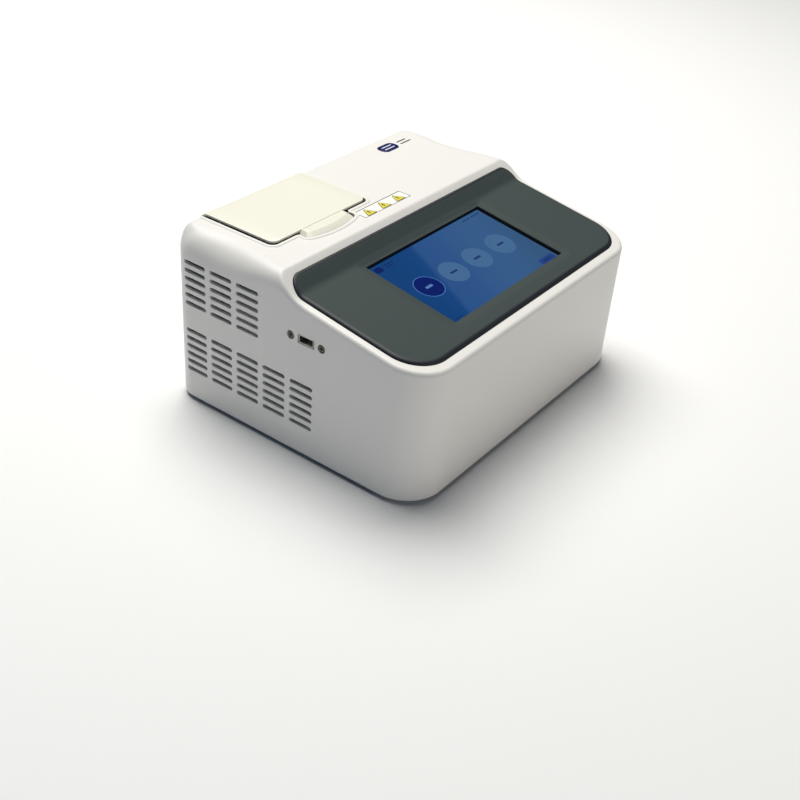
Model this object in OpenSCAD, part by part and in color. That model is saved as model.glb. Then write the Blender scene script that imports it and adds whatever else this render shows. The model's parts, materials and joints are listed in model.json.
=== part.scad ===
// Bench thermal cycler with a heated, hinged lid over a 24-well sample block and a sloping touch screen.
// Origin: centre of the footprint on the surface the feet stand on. +X right, +Y rear, +Z up.
// Every height below is measured from the lower edge of the case; rise() lifts each piece by the feet.

/* [Case] */
// Width of the case, side to side
case_w = 320; // [312:1:330]
// Depth of the case, front to rear
case_d = 254; // [252:1:260]
// Height of the flat top above the case's lower edge
case_h = 152; // [150:1:154]
// Wall thickness of the moulded case
wall = 3; // [2.5:0.1:3.2]
// Corner radius of the two front corners, in plan
corner_front = 34; // [28:1:38]
// Corner radius of the two rear corners, in plan
corner_rear = 20; // [14:1:22]
// Rounding where the top meets the left and right walls
top_side_r = 25; // [18:1:28]
// Height of the rubber feet below the case
foot_h = 4; // [3:0.5:6]

/* [Sloping panel] */
// Tilt of the screen panel from level
slope_angle = 9.1; // [8:0.1:10]
// Tilt of the shoulder between panel and flat top
steep_angle = 39.5; // [36:0.5:42]
// Height of the panel's seat at mid depth
seat_z = 135.4; // [134:0.2:136]
// Where the panel turns up into the shoulder
bend_y = -3.5; // [-5:0.5:-2]
// Half width of the dark panel
bezel_half_w = 153.2; // [150:0.2:154]
// Front edge of the dark panel
bezel_front = -118.3; // [-120:0.1:-116]
// Rear edge of the dark panel
bezel_rear = 10.8; // [9:0.1:11.5]
// How far the panel stands above its seat
bezel_h = 2.5; // [2:0.5:4]
// Width of the screen opening
screen_w = 160; // [157:1:162]
// Height of the screen opening along the slope
screen_d = 92; // [90:1:94]
// Middle of the screen along the depth
screen_y = -51.3; // [-52:0.1:-51]

/* [Lid] */
// Middle of the lid, left to right
lid_x = -68.1; // [-69:0.1:-67]
// Width of the lid
lid_w = 116.2; // [115:0.1:117]
// Front edge of the lid
lid_front = 47.5; // [47:0.1:48]
// Top face of the lid
lid_top = 153.5; // [153:0.1:154]
// Hinge axis, distance behind the middle
hinge_y = 118; // [117.5:0.1:118.2]
// Radius of the lid's rolled rear edge, round the hinge axis
roll_r = 9; // [8.5:0.1:9]
// Radius of the hinge pin
pin_r = 2.5; // [2:0.1:2.8]
// Gap between the lid and the recess
lid_gap = 2.4; // [2:0.1:3]

/* [Sample block] */
// Wells along the block
well_cols = 8; // [8:1:8]
// Rows of wells
well_rows = 3; // [3:1:3]
// Distance between wells
well_pitch = 9; // [9:0.1:9.2]
// Mouth radius of a well
well_r = 3.2; // [3:0.05:3.3]
// Depth of a well
well_depth = 15; // [14:0.5:16]
// Top face of the sample block
block_top = 119.5; // [119:0.1:120]

/* [Vents] */
// Distance between vent columns
vent_pitch_y = 28.15; // [27.5:0.05:28.5]
// Distance between vent rows
vent_pitch_z = 7.41; // [7.2:0.01:7.6]
// Length of one slot
vent_len = 23; // [20:0.5:24]
// Height of one slot
vent_h = 3.2; // [2.8:0.1:3.6]

/* [Cooling] */
// Outer size of the block's fan
fan_size = 80; // [80:1:80]
// Outer size of the case's fan
small_fan_size = 60; // [60:1:60]
// Depth of a fan
fan_t = 25; // [20:1:25]
// Number of heat sink fins
fin_count = 17; // [13:1:19]

/* [Hidden] */
$fn = 48;
arc_steps = 8;
cut = 1;
slope_k = tan(slope_angle);
steep_k = tan(steep_angle);
bend_z = seat_z + slope_k * bend_y;
bend_r = 12;
shoulder_r = 4.5;
rim_r = 4;
rear_top_r = 8;
half_w = case_w / 2;
half_d = case_d / 2;
lid_left = lid_x - lid_w / 2;
lid_right = lid_x + lid_w / 2;
hinge_z = lid_top - roll_r;
recess_left = lid_left - lid_gap;
recess_right = lid_right + lid_gap;
recess_front = lid_front - 1.9;
handle_half = 28.6;
handle_front = 32.2;
handle_bow = 5.2;
handle_gap = 1.6;
lip_w = 3;
lip_h = 0.9;
notch_z = 137;
skin_z = case_h - wall;
tray_z = 117;
tray_t = 2;
tray_floor = tray_z + tray_t;
block_y = 77;
block_w = 76;
block_d = 32;
block_base = 100;
peltier_t = 3.8;
peltier_half = 18.7;
sink_top = block_base - peltier_t;
sink_t = 10;
sink_w = 110;
fin_z = 52;
panel_out = half_d - wall - 0.1;
panel_in = panel_out - 1.5;
fan_x = lid_x;
fan_z = 54;
small_fan_x = 36;
small_fan_z = 78;
inlet_x = 112;
inlet_z = 40;
switch_x = 112;
switch_z = 82;
switch_tilt = 10;
pan_z = 1;
pan_t = 1.5;
floor_z = pan_z + pan_t;
post_x = half_w - 6;
post_y = [-60, 40];
foot_x = 124;
foot_y = 92;
ear_x = [-96.5, -39.7];
arm_x = [-104.5, -31.7];
plate_low = 126;
base_low = 128;
usb_y = -16.2;
usb_z = 105.7;
usb_pitch = 30.4;
glass_t = 1.8;
lcd_t = 6;
opening_half = 130;
board_low = 14.5;
board_top = 16.1;
wire_sides = 8;
wire_ref = [0.5, 0.6, 0.62];
panel_screw_x = 135.5;
panel_screw_z = [20, 100];
bezel_screw_x = 150;
bezel_screw_y = [-90, -50, -15];
blade_places = [[-7, -7.8], [0, -3.8], [7, -7.8]];
psu_rear = 88;
boss_x = 91;
boss_y = 42;
glass_gap = 1.2;
bracket_t = 1.2;
boss_l = glass_gap + glass_t + lcd_t;
screen_mid = screen_y / cos(slope_angle);
fan_hole = 35.75;
small_fan_hole = 25;

// ---------- Shared geometry ----------

module rise() translate([0, 0, foot_h]) children();

module box(low, high) translate(low) cube(high - low);

// A profile drawn in depth and height, carried across from x0 to x1
module across(x0, x1) translate([x0, 0, 0]) rotate([90, 0, 90]) linear_extrude(x1 - x0) children();

// A profile drawn in width and height, carried back from y0 to y1
module back(y0, y1) translate([0, y1, 0]) rotate([90, 0, 0]) linear_extrude(y1 - y0) children();

// Places a piece on the slope, its plane passing the height z above the middle of the case
module on_slope(z) translate([0, 0, z]) rotate([slope_angle, 0, 0]) children();

module rod_x(x0, x1, y, z, r) translate([x0, y, z]) rotate([0, 90, 0]) cylinder(r = r, h = x1 - x0);

module rod_y(x, y0, y1, z, r) translate([x, y0, z]) rotate([-90, 0, 0]) cylinder(r = r, h = y1 - y0);

// Rectangle with round corners, [low] to [high]
module round_rect(low, high, r) {
    translate(low + [r, 0]) square(high - low - [2 * r, 0]);
    translate(low + [0, r]) square(high - low - [0, 2 * r]);
    for (x = [low.x + r, high.x - r], y = [low.y + r, high.y - r]) translate([x, y]) circle(r);
}

// A screw with a round head, its axis up and the underside of its head at the origin
module screw(head_r, head_h, shank_r, shank_l) {
    cylinder(r = head_r, h = head_h);
    translate([0, 0, -shank_l]) cylinder(r = shank_r, h = shank_l + 0.5);
}

// Points of a wire's outline round its i-th point, square to its run there
function wire_ring(points, i, r) =
    let (last = len(points) - 1, into = points[i] - points[max(i - 1, 0)],
         out = points[min(i + 1, last)] - points[i],
         run = unit((i > 0 ? unit(into) : [0, 0, 0]) + (i < last ? unit(out) : [0, 0, 0])),
         side = unit(cross(run, wire_ref)), up = cross(run, side))
    [for (a = [0 : 360 / wire_sides : 359]) points[i] + r * (side * cos(a) + up * sin(a))];

// A round wire through a list of points
module wire(points, r) {
    rings = len(points);
    polyhedron(
        points = [for (i = [0 : rings - 1]) each wire_ring(points, i, r)],
        faces = concat(
            [[for (a = [0 : wire_sides - 1]) a]],
            [for (i = [0 : rings - 2], a = [0 : wire_sides - 1])
                let (b = (a + 1) % wire_sides, k = i * wire_sides, next = k + wire_sides)
                each [[next + a, next + b, k + a], [next + b, k + b, k + a]]],
            [[for (a = [wire_sides - 1 : -1 : 0]) (rings - 1) * wire_sides + a]]));
}

function unit(v) = v / norm(v);

// Points of a round corner of radius r at b, between the lines from a and to c
function bend(a, b, c, r) =
    let (u = unit(a - b), v = unit(c - b), half = acos(u * v) / 2, mid = b + unit(u + v) * r / sin(half),
         first = b + u * r / tan(half) - mid, last = b + v * r / tan(half) - mid,
         from = atan2(first.y, first.x), turn = (atan2(last.y, last.x) - from + 540) % 360 - 180)
    [for (i = [0 : arc_steps]) let (t = from + turn * i / arc_steps) mid + r * [cos(t), sin(t)]];

// Height of the steep shoulder's line at depth 0
function shoulder_line(inset) = bend_z - steep_k * bend_y - inset / cos(steep_angle);

// The line up the slope and shoulder, from front to rear, inset from the case's outside
function slope_path(inset, lift = 0) =
    let (s = seat_z + lift - inset / cos(slope_angle), q = shoulder_line(inset) + lift,
         y = (s - q) / (steep_k - slope_k), turn = [y, s + slope_k * y],
         front = [-half_d + inset, s + slope_k * (-half_d + inset)], rear = [30, q + steep_k * 30])
    concat([front], bend(front, turn, rear, bend_r), [rear]);

// Side outline of the case, inset from its outside
function side_outline(inset, low, front_r, rear_r) =
    let (path = slope_path(inset), top = case_h - inset, edge = [-half_d + inset, low],
         shoulder = [(top - shoulder_line(inset)) / steep_k, top], rear = [half_d - inset, top],
         foot_start = path[1], foot_end = path[len(path) - 2])
    concat([edge], bend(edge, path[0], foot_start, front_r), [for (i = [1 : len(path) - 2]) path[i]],
           bend(foot_end, shoulder, rear, max(shoulder_r - inset, 1)),
           bend(shoulder, rear, [rear.x, low], rear_r), [[rear.x, low]]);

module case_plan(inset) {
    w = case_w - 2 * inset;
    d = case_d - 2 * inset;
    front = corner_front - inset;
    rear = corner_rear - inset;
    translate([-w / 2, -d / 2 + front]) square([w, d - front - rear]);
    translate([-w / 2 + front, -d / 2]) square([w - 2 * front, front + 1]);
    translate([-w / 2 + rear, d / 2 - rear - 1]) square([w - 2 * rear, rear + 1]);
    for (side = [-1, 1]) {
        translate([side * (w / 2 - front), -d / 2 + front]) circle(front);
        translate([side * (w / 2 - rear), d / 2 - rear]) circle(rear);
    }
}

module case_front(inset, low) {
    w = case_w - 2 * inset;
    r = top_side_r - inset;
    top = case_h - inset;
    translate([-w / 2, low]) square([w, top - r - low]);
    translate([-w / 2 + r, top - r - 1]) square([w - 2 * r, r + 1]);
    for (side = [-1, 1]) translate([side * (w / 2 - r), top - r]) circle(r);
}

// The case as a solid block, inset from its outside
module case_block(inset, low) intersection() {
    translate([0, 0, low]) linear_extrude(case_h) case_plan(inset);
    back(-half_d, half_d) case_front(inset, low);
    across(-half_w, half_w)
        polygon(side_outline(inset, low, max(rim_r - inset, 1), max(rear_top_r - inset, 1)));
}

// Outline of the dark panel seen from above, grown by g
module bezel_plan(g) {
    low = [-bezel_half_w - g, bezel_front - g];
    high = [bezel_half_w + g, bezel_rear + g];
    front_r = 30 + g;
    rear_r = 12 + g;
    translate([low.x, low.y + front_r]) square([high.x - low.x, high.y - low.y - front_r - rear_r]);
    translate([low.x + front_r, low.y]) square([high.x - low.x - 2 * front_r, front_r + 1]);
    translate([low.x + rear_r, high.y - rear_r - 1]) square([high.x - low.x - 2 * rear_r, rear_r + 1]);
    for (side = [-1, 1]) {
        translate([side * (high.x - front_r), low.y + front_r]) circle(front_r);
        translate([side * (high.x - rear_r), high.y - rear_r]) circle(rear_r);
    }
}

// Outline of a tongue with a bowed front, round front corners and a straight rear edge
function tongue(half, front, rear, r) =
    let (bow = [for (i = [-6 : 6]) let (x = 0.8 * half * i / 6) [x, front + handle_bow * pow(x / half, 2)]],
         side_y = bow[0].y + 2)
    concat([[-half, rear]], bend([-half, rear], [-half, side_y], bow[0], r), bow,
           bend(bow[12], [half, side_y], [half, rear], r), [[half, rear]]);

// Outline of the recess that takes the lid and its handle, grown by g and open at the rear
module recess_plan(g) {
    round_rect([recess_left - g, recess_front - g], [recess_right + g, half_d + 20], 6 + g);
    out = handle_gap + g;
    translate([lid_x, 0]) polygon(tongue(handle_half + out, handle_front - out, recess_front + 20, 4.5 + g));
}

// Outlines of one row of ventilation slots, drawn in depth and height
module vent_row(columns, tip_z) for (c = [0 : columns - 1]) {
    rear = 83.7 - vent_pitch_y * (c - 1) - vent_h / 2;
    front = rear - vent_len + vent_h;
    translate([front, tip_z - vent_h / 2]) square([rear - front, vent_h]);
    for (y = [front, rear]) translate([y, tip_z]) circle(vent_h / 2, $fn = 24);
}

module vents() across(-half_w - cut, -half_w + 14) for (row = [0 : 5]) {
    vent_row(3, 127.1 - row * vent_pitch_z);
    vent_row(5, 64.4 - row * vent_pitch_z);
}

// ---------- Case ----------

module upper_housing() rise() color("whitesmoke") {
    difference() {
        union() {
            difference() {
                case_block(0, 0);
                case_block(wall, -cut);
            }
            // raised lip round the recess, cut back to the recess below
            intersection() {
                translate([0, 0, skin_z]) linear_extrude(wall + lip_h) recess_plan(lip_w);
                box([-half_w, 20, skin_z], [half_w, 122, case_h + 1]);
                back(-half_d, half_d) case_front(0, lip_h);
            }
            // screw posts for the base
            for (x = [-1, 1], y = post_y) intersection() {
                translate([x * post_x, y, floor_z + 0.3]) cylinder(r = 5, h = 22);
                case_block(wall / 2, 0);
            }
        }
        // opening for the lid's recess, notched through the rear wall
        translate([0, 0, notch_z]) linear_extrude(30) recess_plan(0);
        // window under the dark panel
        translate([0, 0, 90]) linear_extrude(70) bezel_plan(-6);
        // opening for the rear panel
        box([-opening_half, half_d - wall - cut, 13], [opening_half, half_d + cut, 108]);
        vents();
        mirror([1, 0, 0]) vents();
        // USB opening and its two countersunk screw holes
        box([-half_w - cut, usb_y - 8.1, usb_z - 3.9], [-half_w + 5, usb_y + 8.1, usb_z + 3.9]);
        for (side = [-1, 1]) {
            rod_x(-half_w - cut, -half_w + 5, usb_y + side * usb_pitch / 2, usb_z, 1.7);
            rod_x(-half_w - cut, -half_w + 1.7, usb_y + side * usb_pitch / 2, usb_z, 3.4);
        }
        for (x = [-1, 1], y = post_y) translate([x * post_x, y, 0]) cylinder(r = 1.5, h = 20);
        for (x = [-panel_screw_x, panel_screw_x], z = panel_screw_z) {
            rod_y(x, half_d - wall - cut, half_d + cut, z, 1.7);
            rod_y(x, half_d - 1.6, half_d + cut, z, 3.2);
        }
        // holes for the screws that hold the dark panel from inside
        for (x = [-1, 1], y = bezel_screw_y)
            translate([x * bezel_screw_x, y, seat_z + slope_k * y - wall - 5]) cylinder(r = 1.7, h = 12);
    }
}

module base_pan() rise() color("gray") difference() {
    union() {
        translate([0, 0, pan_z]) linear_extrude(pan_t) case_plan(wall + 0.3);
        difference() {
            translate([0, 0, pan_z]) linear_extrude(9) case_plan(wall + 0.3);
            translate([0, 0, pan_z - cut]) linear_extrude(9 + 2 * cut) case_plan(wall + 0.3 + pan_t);
            for (x = [-1, 1], y = post_y) translate([x * post_x, y, floor_z]) cylinder(r = 5.5, h = 22);
        }
    }
    for (x = [-1, 1], y = post_y) translate([x * post_x, y, 0]) cylinder(r = 1.7, h = 5);
    for (x = [-1, 1], y = [-1, 1]) translate([x * foot_x, y * foot_y, 0]) cylinder(r = 2, h = 5);
    // intake slots under the heat sink and the power supply
    for (i = [0 : 6]) {
        box([-108, 40 + i * 8, 0], [-30, 44 + i * 8, 5]);
        box([46, 30 + i * 8, 0], [110, 34 + i * 8, 5]);
    }
}

module rubber_feet() rise() color("dimgray")
    for (x = [-1, 1], y = [-1, 1]) translate([x * foot_x, y * foot_y, -foot_h]) difference() {
        union() {
            cylinder(r1 = 8, r2 = 9, h = 1);
            translate([0, 0, 1]) cylinder(r = 9, h = foot_h + pan_z - 1);
        }
        translate([0, 0, -cut]) cylinder(r = 4, h = 3 + cut);
        cylinder(r = 2, h = foot_h + 2);
    }

module foot_screws() rise() color("silver")
    for (x = [-1, 1], y = [-1, 1]) translate([x * foot_x, y * foot_y, 3 - foot_h]) mirror([0, 0, 1])
        screw(3.5, 2, 1.9, foot_h - 3 + pan_z + pan_t - 0.1);

module case_screws() rise() color("silver")
    for (x = [-1, 1], y = post_y) translate([x * post_x, y, pan_z]) mirror([0, 0, 1])
        screw(2.9, 0.9, 1.45, 14);

module rear_panel() rise() color("lightgray") difference() {
    box([-139.5, panel_in, 10.4], [139.5, panel_out, 113]);
    rod_y(fan_x, panel_in - cut, panel_out + cut, fan_z, 37);
    rod_y(small_fan_x, panel_in - cut, panel_out + cut, small_fan_z, 27);
    for (x = [-1, 1], z = [-1, 1]) {
        rod_y(fan_x + x * fan_hole, panel_in - cut, panel_out + cut, fan_z + z * fan_hole, 2.1);
        rod_y(small_fan_x + x * small_fan_hole, panel_in - cut, panel_out + cut,
              small_fan_z + z * small_fan_hole, 2.1);
    }
    box([inlet_x - 14, panel_in - cut, inlet_z - 16], [inlet_x + 14, panel_out + cut, inlet_z + 16]);
    box([switch_x - 11, panel_in - cut, switch_z - 7], [switch_x + 11, panel_out + cut, switch_z + 7]);
    for (x = [-panel_screw_x, panel_screw_x], z = panel_screw_z)
        rod_y(x, panel_in - cut, panel_out + cut, z, 1.5);
    // slots that let the power supply breathe
    for (i = [0 : 7]) box([20 + i * 7, panel_in - cut, 14], [23.5 + i * 7, panel_out + cut, 36]);
}

module rear_panel_screws() rise() color("silver")
    for (x = [-panel_screw_x, panel_screw_x], z = panel_screw_z) {
        rod_y(x, half_d - 1.5, half_d, z, 3);
        rod_y(x, panel_in - 4, half_d - 1, z, 1.45);
    }

// ---------- Screen ----------

module screen_bezel() rise() color("darkslategray") difference() {
    union() {
        intersection() {
            across(-bezel_half_w, bezel_half_w) {
                top = slope_path(0, bezel_h);
                polygon(concat(slope_path(0), [for (i = [len(top) - 1 : -1 : 0]) top[i]]));
            }
            translate([0, 0, 80]) linear_extrude(100) bezel_plan(0);
        }
        // bosses for the display's bracket
        on_slope(seat_z) for (x = [-1, 1], y = [-1, 1])
            translate([x * boss_x, screen_mid + y * boss_y, -boss_l]) cylinder(r = 3.5, h = boss_l + 1);
    }
    on_slope(seat_z) translate([-screen_w / 2, screen_mid - screen_d / 2, -cut])
        cube([screen_w, screen_d, bezel_h + 3 * cut]);
    // blind holes for the screws that hold it and the bracket
    for (x = [-1, 1], y = bezel_screw_y) translate([x * bezel_screw_x, y, seat_z + slope_k * y - 3])
        cylinder(r = 1.25, h = 4.6);
    on_slope(seat_z) for (x = [-1, 1], y = [-1, 1])
        translate([x * boss_x, screen_mid + y * boss_y, -boss_l - cut]) cylinder(r = 1.25, h = boss_l);
}

module bezel_screws() rise() color("silver") {
    for (x = [-1, 1], y = bezel_screw_y)
        translate([x * bezel_screw_x, y, seat_z + slope_k * y - wall - 0.7])
            mirror([0, 0, 1]) screw(2.4, 1.6, 1.25, wall + 2);
    on_slope(seat_z) for (x = [-1, 1], y = [-1, 1])
        translate([x * boss_x, screen_mid + y * boss_y, -boss_l - bracket_t - 0.05])
            mirror([0, 0, 1]) screw(2.4, 1.6, 1.25, 5);
}

module touch_glass() rise() color("midnightblue")
    on_slope(seat_z) translate([-86, screen_mid - 51, -glass_gap - glass_t]) cube([172, 102, glass_t]);

module lcd_module() rise() color("slategray")
    on_slope(seat_z) translate([-82.5, screen_mid - 50, -boss_l]) cube([165, 100, lcd_t]);

module lcd_bracket() rise() color("silver")
    on_slope(seat_z) translate([0, screen_mid, -boss_l - bracket_t]) difference() {
        union() {
            translate([-84, -52, 0]) cube([168, 104, bracket_t]);
            for (y = [-48, 36]) translate([-96, y, 0]) cube([192, 12, bracket_t]);
        }
        for (x = [-70, 4]) translate([x, -34, -cut]) cube([66, 68, 4]);
        for (x = [-1, 1], y = [-1, 1]) translate([x * boss_x, y * boss_y, -cut]) cylinder(r = 1.5, h = 4);
    }

module display_board() rise() color("green")
    on_slope(seat_z) translate([-45, screen_mid - 30, -boss_l - bracket_t - 6.2]) {
        cube([90, 60, 1.6]);
        for (x = [3, 83], y = [3, 57]) translate([x, y, 1.5]) cylinder(r = 2.5, h = 4.7);
        translate([20, 18, -2.4]) cube([22, 22, 2.5]);
        translate([56, 6, -4]) cube([26, 7, 4.1]);
    }

// Flat ribbon cable from the display board down to the main board
module display_ribbon() rise() color("gainsboro") {
    top = seat_z - 32;
    across(22, 42) polygon([[-68, top], [-67.4, top], [-67.4, 60], [-57.4, 30], [-57.4, 20.2], [-58, 20.2],
                            [-58, 30], [-68, 60]]);
}

module usb_socket() rise() color("silver") difference() {
    box([-half_w + 0.6, usb_y - 7.1, usb_z - 3.4], [-half_w + 17, usb_y + 7.1, usb_z + 3.4]);
    box([-half_w, usb_y - 6.7, usb_z - 3], [-half_w + 14.5, usb_y + 6.7, usb_z + 3]);
}

module usb_tongue() rise() color("white")
    box([-half_w + 6.2, usb_y - 6, usb_z + 0.6], [-half_w + 14.5, usb_y + 6, usb_z + 2.6]);

module usb_board() rise() color("green") {
    difference() {
        box([-half_w + 6, usb_y - 20, usb_z - 5], [-half_w + 30, usb_y + 20, usb_z - 3.4]);
        for (side = [-1, 1]) translate([-half_w + 11.5, usb_y + side * usb_pitch / 2, usb_z - 8])
            cylinder(r = 1.4, h = 8);
    }
    // threaded blocks for the two panel screws
    for (side = [-1, 1]) difference() {
        box([-half_w + wall + 0.2, usb_y + side * usb_pitch / 2 - 3.5, usb_z - 3.4],
            [-half_w + 11, usb_y + side * usb_pitch / 2 + 3.5, usb_z + 3.4]);
        rod_x(-half_w, -half_w + 12, usb_y + side * usb_pitch / 2, usb_z, 1.5);
    }
}

module usb_screws() rise() color("silver") for (side = [-1, 1]) difference() {
    union() {
        rod_x(-half_w + 0.2, -half_w + 1.7, usb_y + side * usb_pitch / 2, usb_z, 3.2);
        rod_x(-half_w + 1, -half_w + 9, usb_y + side * usb_pitch / 2, usb_z, 1.45);
    }
    translate([-half_w, usb_y + side * usb_pitch / 2, usb_z]) {
        translate([-cut, -1.8, -0.35]) cube([1.8, 3.6, 0.7]);
        translate([-cut, -0.35, -1.8]) cube([1.8, 0.7, 3.6]);
    }
}

// ---------- Sample block and its cooling ----------

module block_tray() rise() color("dimgray") {
    difference() {
        intersection() {
            translate([0, 0, tray_z]) linear_extrude(skin_z - tray_z - 0.6) recess_plan(2);
            box([-half_w, 0, 0], [half_w, half_d - wall - 0.3, case_h]);
        }
        intersection() {
            translate([0, 0, tray_floor]) linear_extrude(60) recess_plan(0);
            box([-half_w, recess_front, 0], [half_w, half_d, case_h]);
        }
        // shallow finger trough under the handle
        translate([0, 0, 134]) linear_extrude(60) recess_plan(0);
        box([-half_w, half_d - 6, notch_z - 1], [half_w, half_d, case_h]);
        box([lid_x - block_w / 2 - 2, block_y - block_d / 2 - 2, 100],
            [lid_x + block_w / 2 + 2, block_y + block_d / 2 + 2, 130]);
        for (x = ear_x) translate([x, 109, 100]) cylinder(r = 1.5, h = 30);
    }
    // posts under the catch plates, and posts that stand on the heat sink
    for (x = [-1, 1]) {
        translate([lid_x + x * 50, 56, tray_floor - 0.5]) cylinder(r = 5.5, h = 7.2);
        for (y = [52, 92]) translate([lid_x + x * 51, y, sink_top])
            cylinder(r = 3, h = tray_z - sink_top + 0.5);
    }
}

module catch_plates() rise() color("silver")
    for (x = [-1, 1]) translate([lid_x + x * 50, 56, tray_floor + 6.7]) cylinder(r = 5, h = 1.4);

module block_gasket() rise() color("gainsboro") difference() {
    box([lid_x - block_w / 2 - 2, block_y - block_d / 2 - 2, tray_z],
        [lid_x + block_w / 2 + 2, block_y + block_d / 2 + 2, tray_floor + 0.3]);
    box([lid_x - block_w / 2, block_y - block_d / 2, tray_z - cut],
        [lid_x + block_w / 2, block_y + block_d / 2, tray_floor + cut]);
}

// Place of every well's axis
function well_places() = [for (i = [0 : well_cols - 1], j = [0 : well_rows - 1])
    [lid_x + (i - (well_cols - 1) / 2) * well_pitch, block_y + (j - (well_rows - 1) / 2) * well_pitch]];

module sample_block() rise() color("silver") difference() {
    union() {
        box([lid_x - block_w / 2, block_y - block_d / 2, block_base],
            [lid_x + block_w / 2, block_y + block_d / 2, block_top]);
        box([lid_x - 46, block_y - 19.5, block_base], [lid_x + 46, block_y + 19.5, block_base + 4]);
    }
    for (p = well_places()) translate([p.x, p.y, block_top - well_depth]) {
        translate([0, 0, well_depth - 6]) cylinder(r = well_r, h = 6 + cut);
        cylinder(r1 = 1.4, r2 = well_r, h = well_depth - 6);
    }
    for (x = [-1, 1], y = [-1, 1]) translate([lid_x + x * 42, block_y + y * 14, block_base - cut])
        cylinder(r = 1.6, h = 8);
}

module peltier_modules() rise() color("white") for (side = [-1, 1]) {
    x = lid_x + side * (peltier_half + 0.5);
    translate([x, block_y, 0])
        box([-peltier_half, -peltier_half, sink_top], [peltier_half, peltier_half, block_base]);
}

module block_screws() rise() color("silver")
    for (x = [-1, 1], y = [-1, 1]) translate([lid_x + x * 42, block_y + y * 14, block_base + 4])
        screw(2.7, 2.4, 1.5, 4 + peltier_t + 6);

module heat_sink() rise() color("silver") {
    low_y = 46;
    high_y = 96;
    pitch = (sink_w - 14) / (fin_count - 1);
    difference() {
        box([lid_x - sink_w / 2, low_y, sink_top - sink_t], [lid_x + sink_w / 2, high_y, sink_top]);
        for (x = [-1, 1], y = [-1, 1]) translate([lid_x + x * 42, block_y + y * 14, sink_top - 6.5])
            cylinder(r = 1.5, h = 8);
    }
    for (i = [0 : fin_count - 1]) translate([lid_x - sink_w / 2 + 6 + i * pitch, 0, 0])
        box([0, low_y, fin_z], [2, high_y, sink_top - sink_t + 0.5]);
}

// Folded sheet side walls that carry the heat sink and close its air duct
module heat_sink_stand() rise() color("gray") for (side = [-1, 1]) {
    edge = lid_x + side * (sink_w / 2 + 1.5);
    inner = lid_x + side * (sink_w / 2 - 4);
    box([min(edge, edge - side * 1.5), 46, floor_z], [max(edge, edge - side * 1.5), 96, sink_top]);
    box([min(edge, inner), 46, sink_top - sink_t - 1.5], [max(edge, inner), 96, sink_top - sink_t]);
    box([min(edge, edge + side * 12), 46, floor_z], [max(edge, edge + side * 12), 84, floor_z + 1.5]);
}

// An axial fan's frame, its axis along Y and its rear face at y
module fan_frame(x, y, z, size, hole) {
    r = size / 2 - 2;
    seat = size * 0.2;
    difference() {
        box([x - size / 2, y - fan_t, z - size / 2], [x + size / 2, y, z + size / 2]);
        rod_y(x, y - fan_t - cut, y + cut, z, r);
        for (i = [-1, 1], j = [-1, 1])
            rod_y(x + i * hole, y - fan_t - cut, y + cut, z + j * hole, 2.1);
    }
    // motor seat on four arms
    difference() {
        union() {
            rod_y(x, y - fan_t + 0.2, y - fan_t + 3, z, seat);
            for (a = [45 : 90 : 315]) translate([x, y - fan_t + 0.6, z]) rotate([0, a, 0])
                translate([seat - 2, 0, -1.5]) cube([r + 2.5 - seat, 2, 3]);
        }
        rod_y(x, y - fan_t - cut, y - fan_t + 4, z, 1.6);
    }
}

// The fan's rotor: a hub with swept blades on a short shaft
module fan_rotor(x, y, z, size) {
    r = size / 2 - 3.2;
    hub = size * 0.2;
    rod_y(x, y - fan_t + 4, y - 3, z, hub);
    rod_y(x, y - fan_t + 0.5, y - fan_t + 5, z, 1.55);
    intersection() {
        difference() {
            rod_y(x, y - fan_t + 4.5, y - 3.5, z, r);
            rod_y(x, y - fan_t, y, z, hub - 1);
        }
        for (i = [0 : 6]) translate([x, y - fan_t / 2, z]) rotate([0, i * 360 / 7, 0]) rotate([38, 0, 0])
            translate([0, -14, -0.8]) cube([r + 5, 28, 1.6]);
    }
}

// Wire finger guard: rings on two bars that end in eyes round the screws
module fan_guard(x, z, size, hole) {
    y = panel_out;
    for (i = [1 : 4]) translate([x, y + 1.5, z]) rotate([90, 0, 0])
        rotate_extrude() translate([size * 0.115 * i, 0]) circle(0.7, $fn = 16);
    bar = hole * sqrt(2) - 2.65;
    for (a = [45, 135]) translate([x, y + 0.75, z]) rotate([0, a, 0]) {
        translate([-bar, 0, 0]) rotate([0, 90, 0]) cylinder(r = 0.7, h = 2 * bar, $fn = 16);
        for (side = [-1, 1]) translate([side * hole * sqrt(2), 0, 0]) rotate([90, 0, 0])
            rotate_extrude($fn = 24) translate([2.65, 0]) circle(0.7, $fn = 16);
    }
}

module block_fan_frame() rise() color("dimgray")
    fan_frame(fan_x, panel_in, fan_z, fan_size, fan_hole);

module block_fan_rotor() rise() color("dimgray")
    fan_rotor(fan_x, panel_in, fan_z, fan_size);

module block_fan_guard() rise() color("silver")
    fan_guard(fan_x, fan_z, fan_size, fan_hole);

module case_fan_frame() rise() color("dimgray")
    fan_frame(small_fan_x, panel_in, small_fan_z, small_fan_size, small_fan_hole);

module case_fan_rotor() rise() color("dimgray")
    fan_rotor(small_fan_x, panel_in, small_fan_z, small_fan_size);

module case_fan_guard() rise() color("silver")
    fan_guard(small_fan_x, small_fan_z, small_fan_size, small_fan_hole);

// Head and shank of one screw through a fan's corner
module fan_screw(x, z) {
    rod_y(x, panel_out + 1.5, panel_out + 3, z, 3.4);
    rod_y(x, panel_in - 10, panel_out + 2, z, 1.9);
}

module fan_screws() rise() color("silver") for (i = [-1, 1], j = [-1, 1]) {
    fan_screw(fan_x + i * fan_hole, fan_z + j * fan_hole);
    fan_screw(small_fan_x + i * small_fan_hole, small_fan_z + j * small_fan_hole);
}

// ---------- Lid ----------

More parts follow.
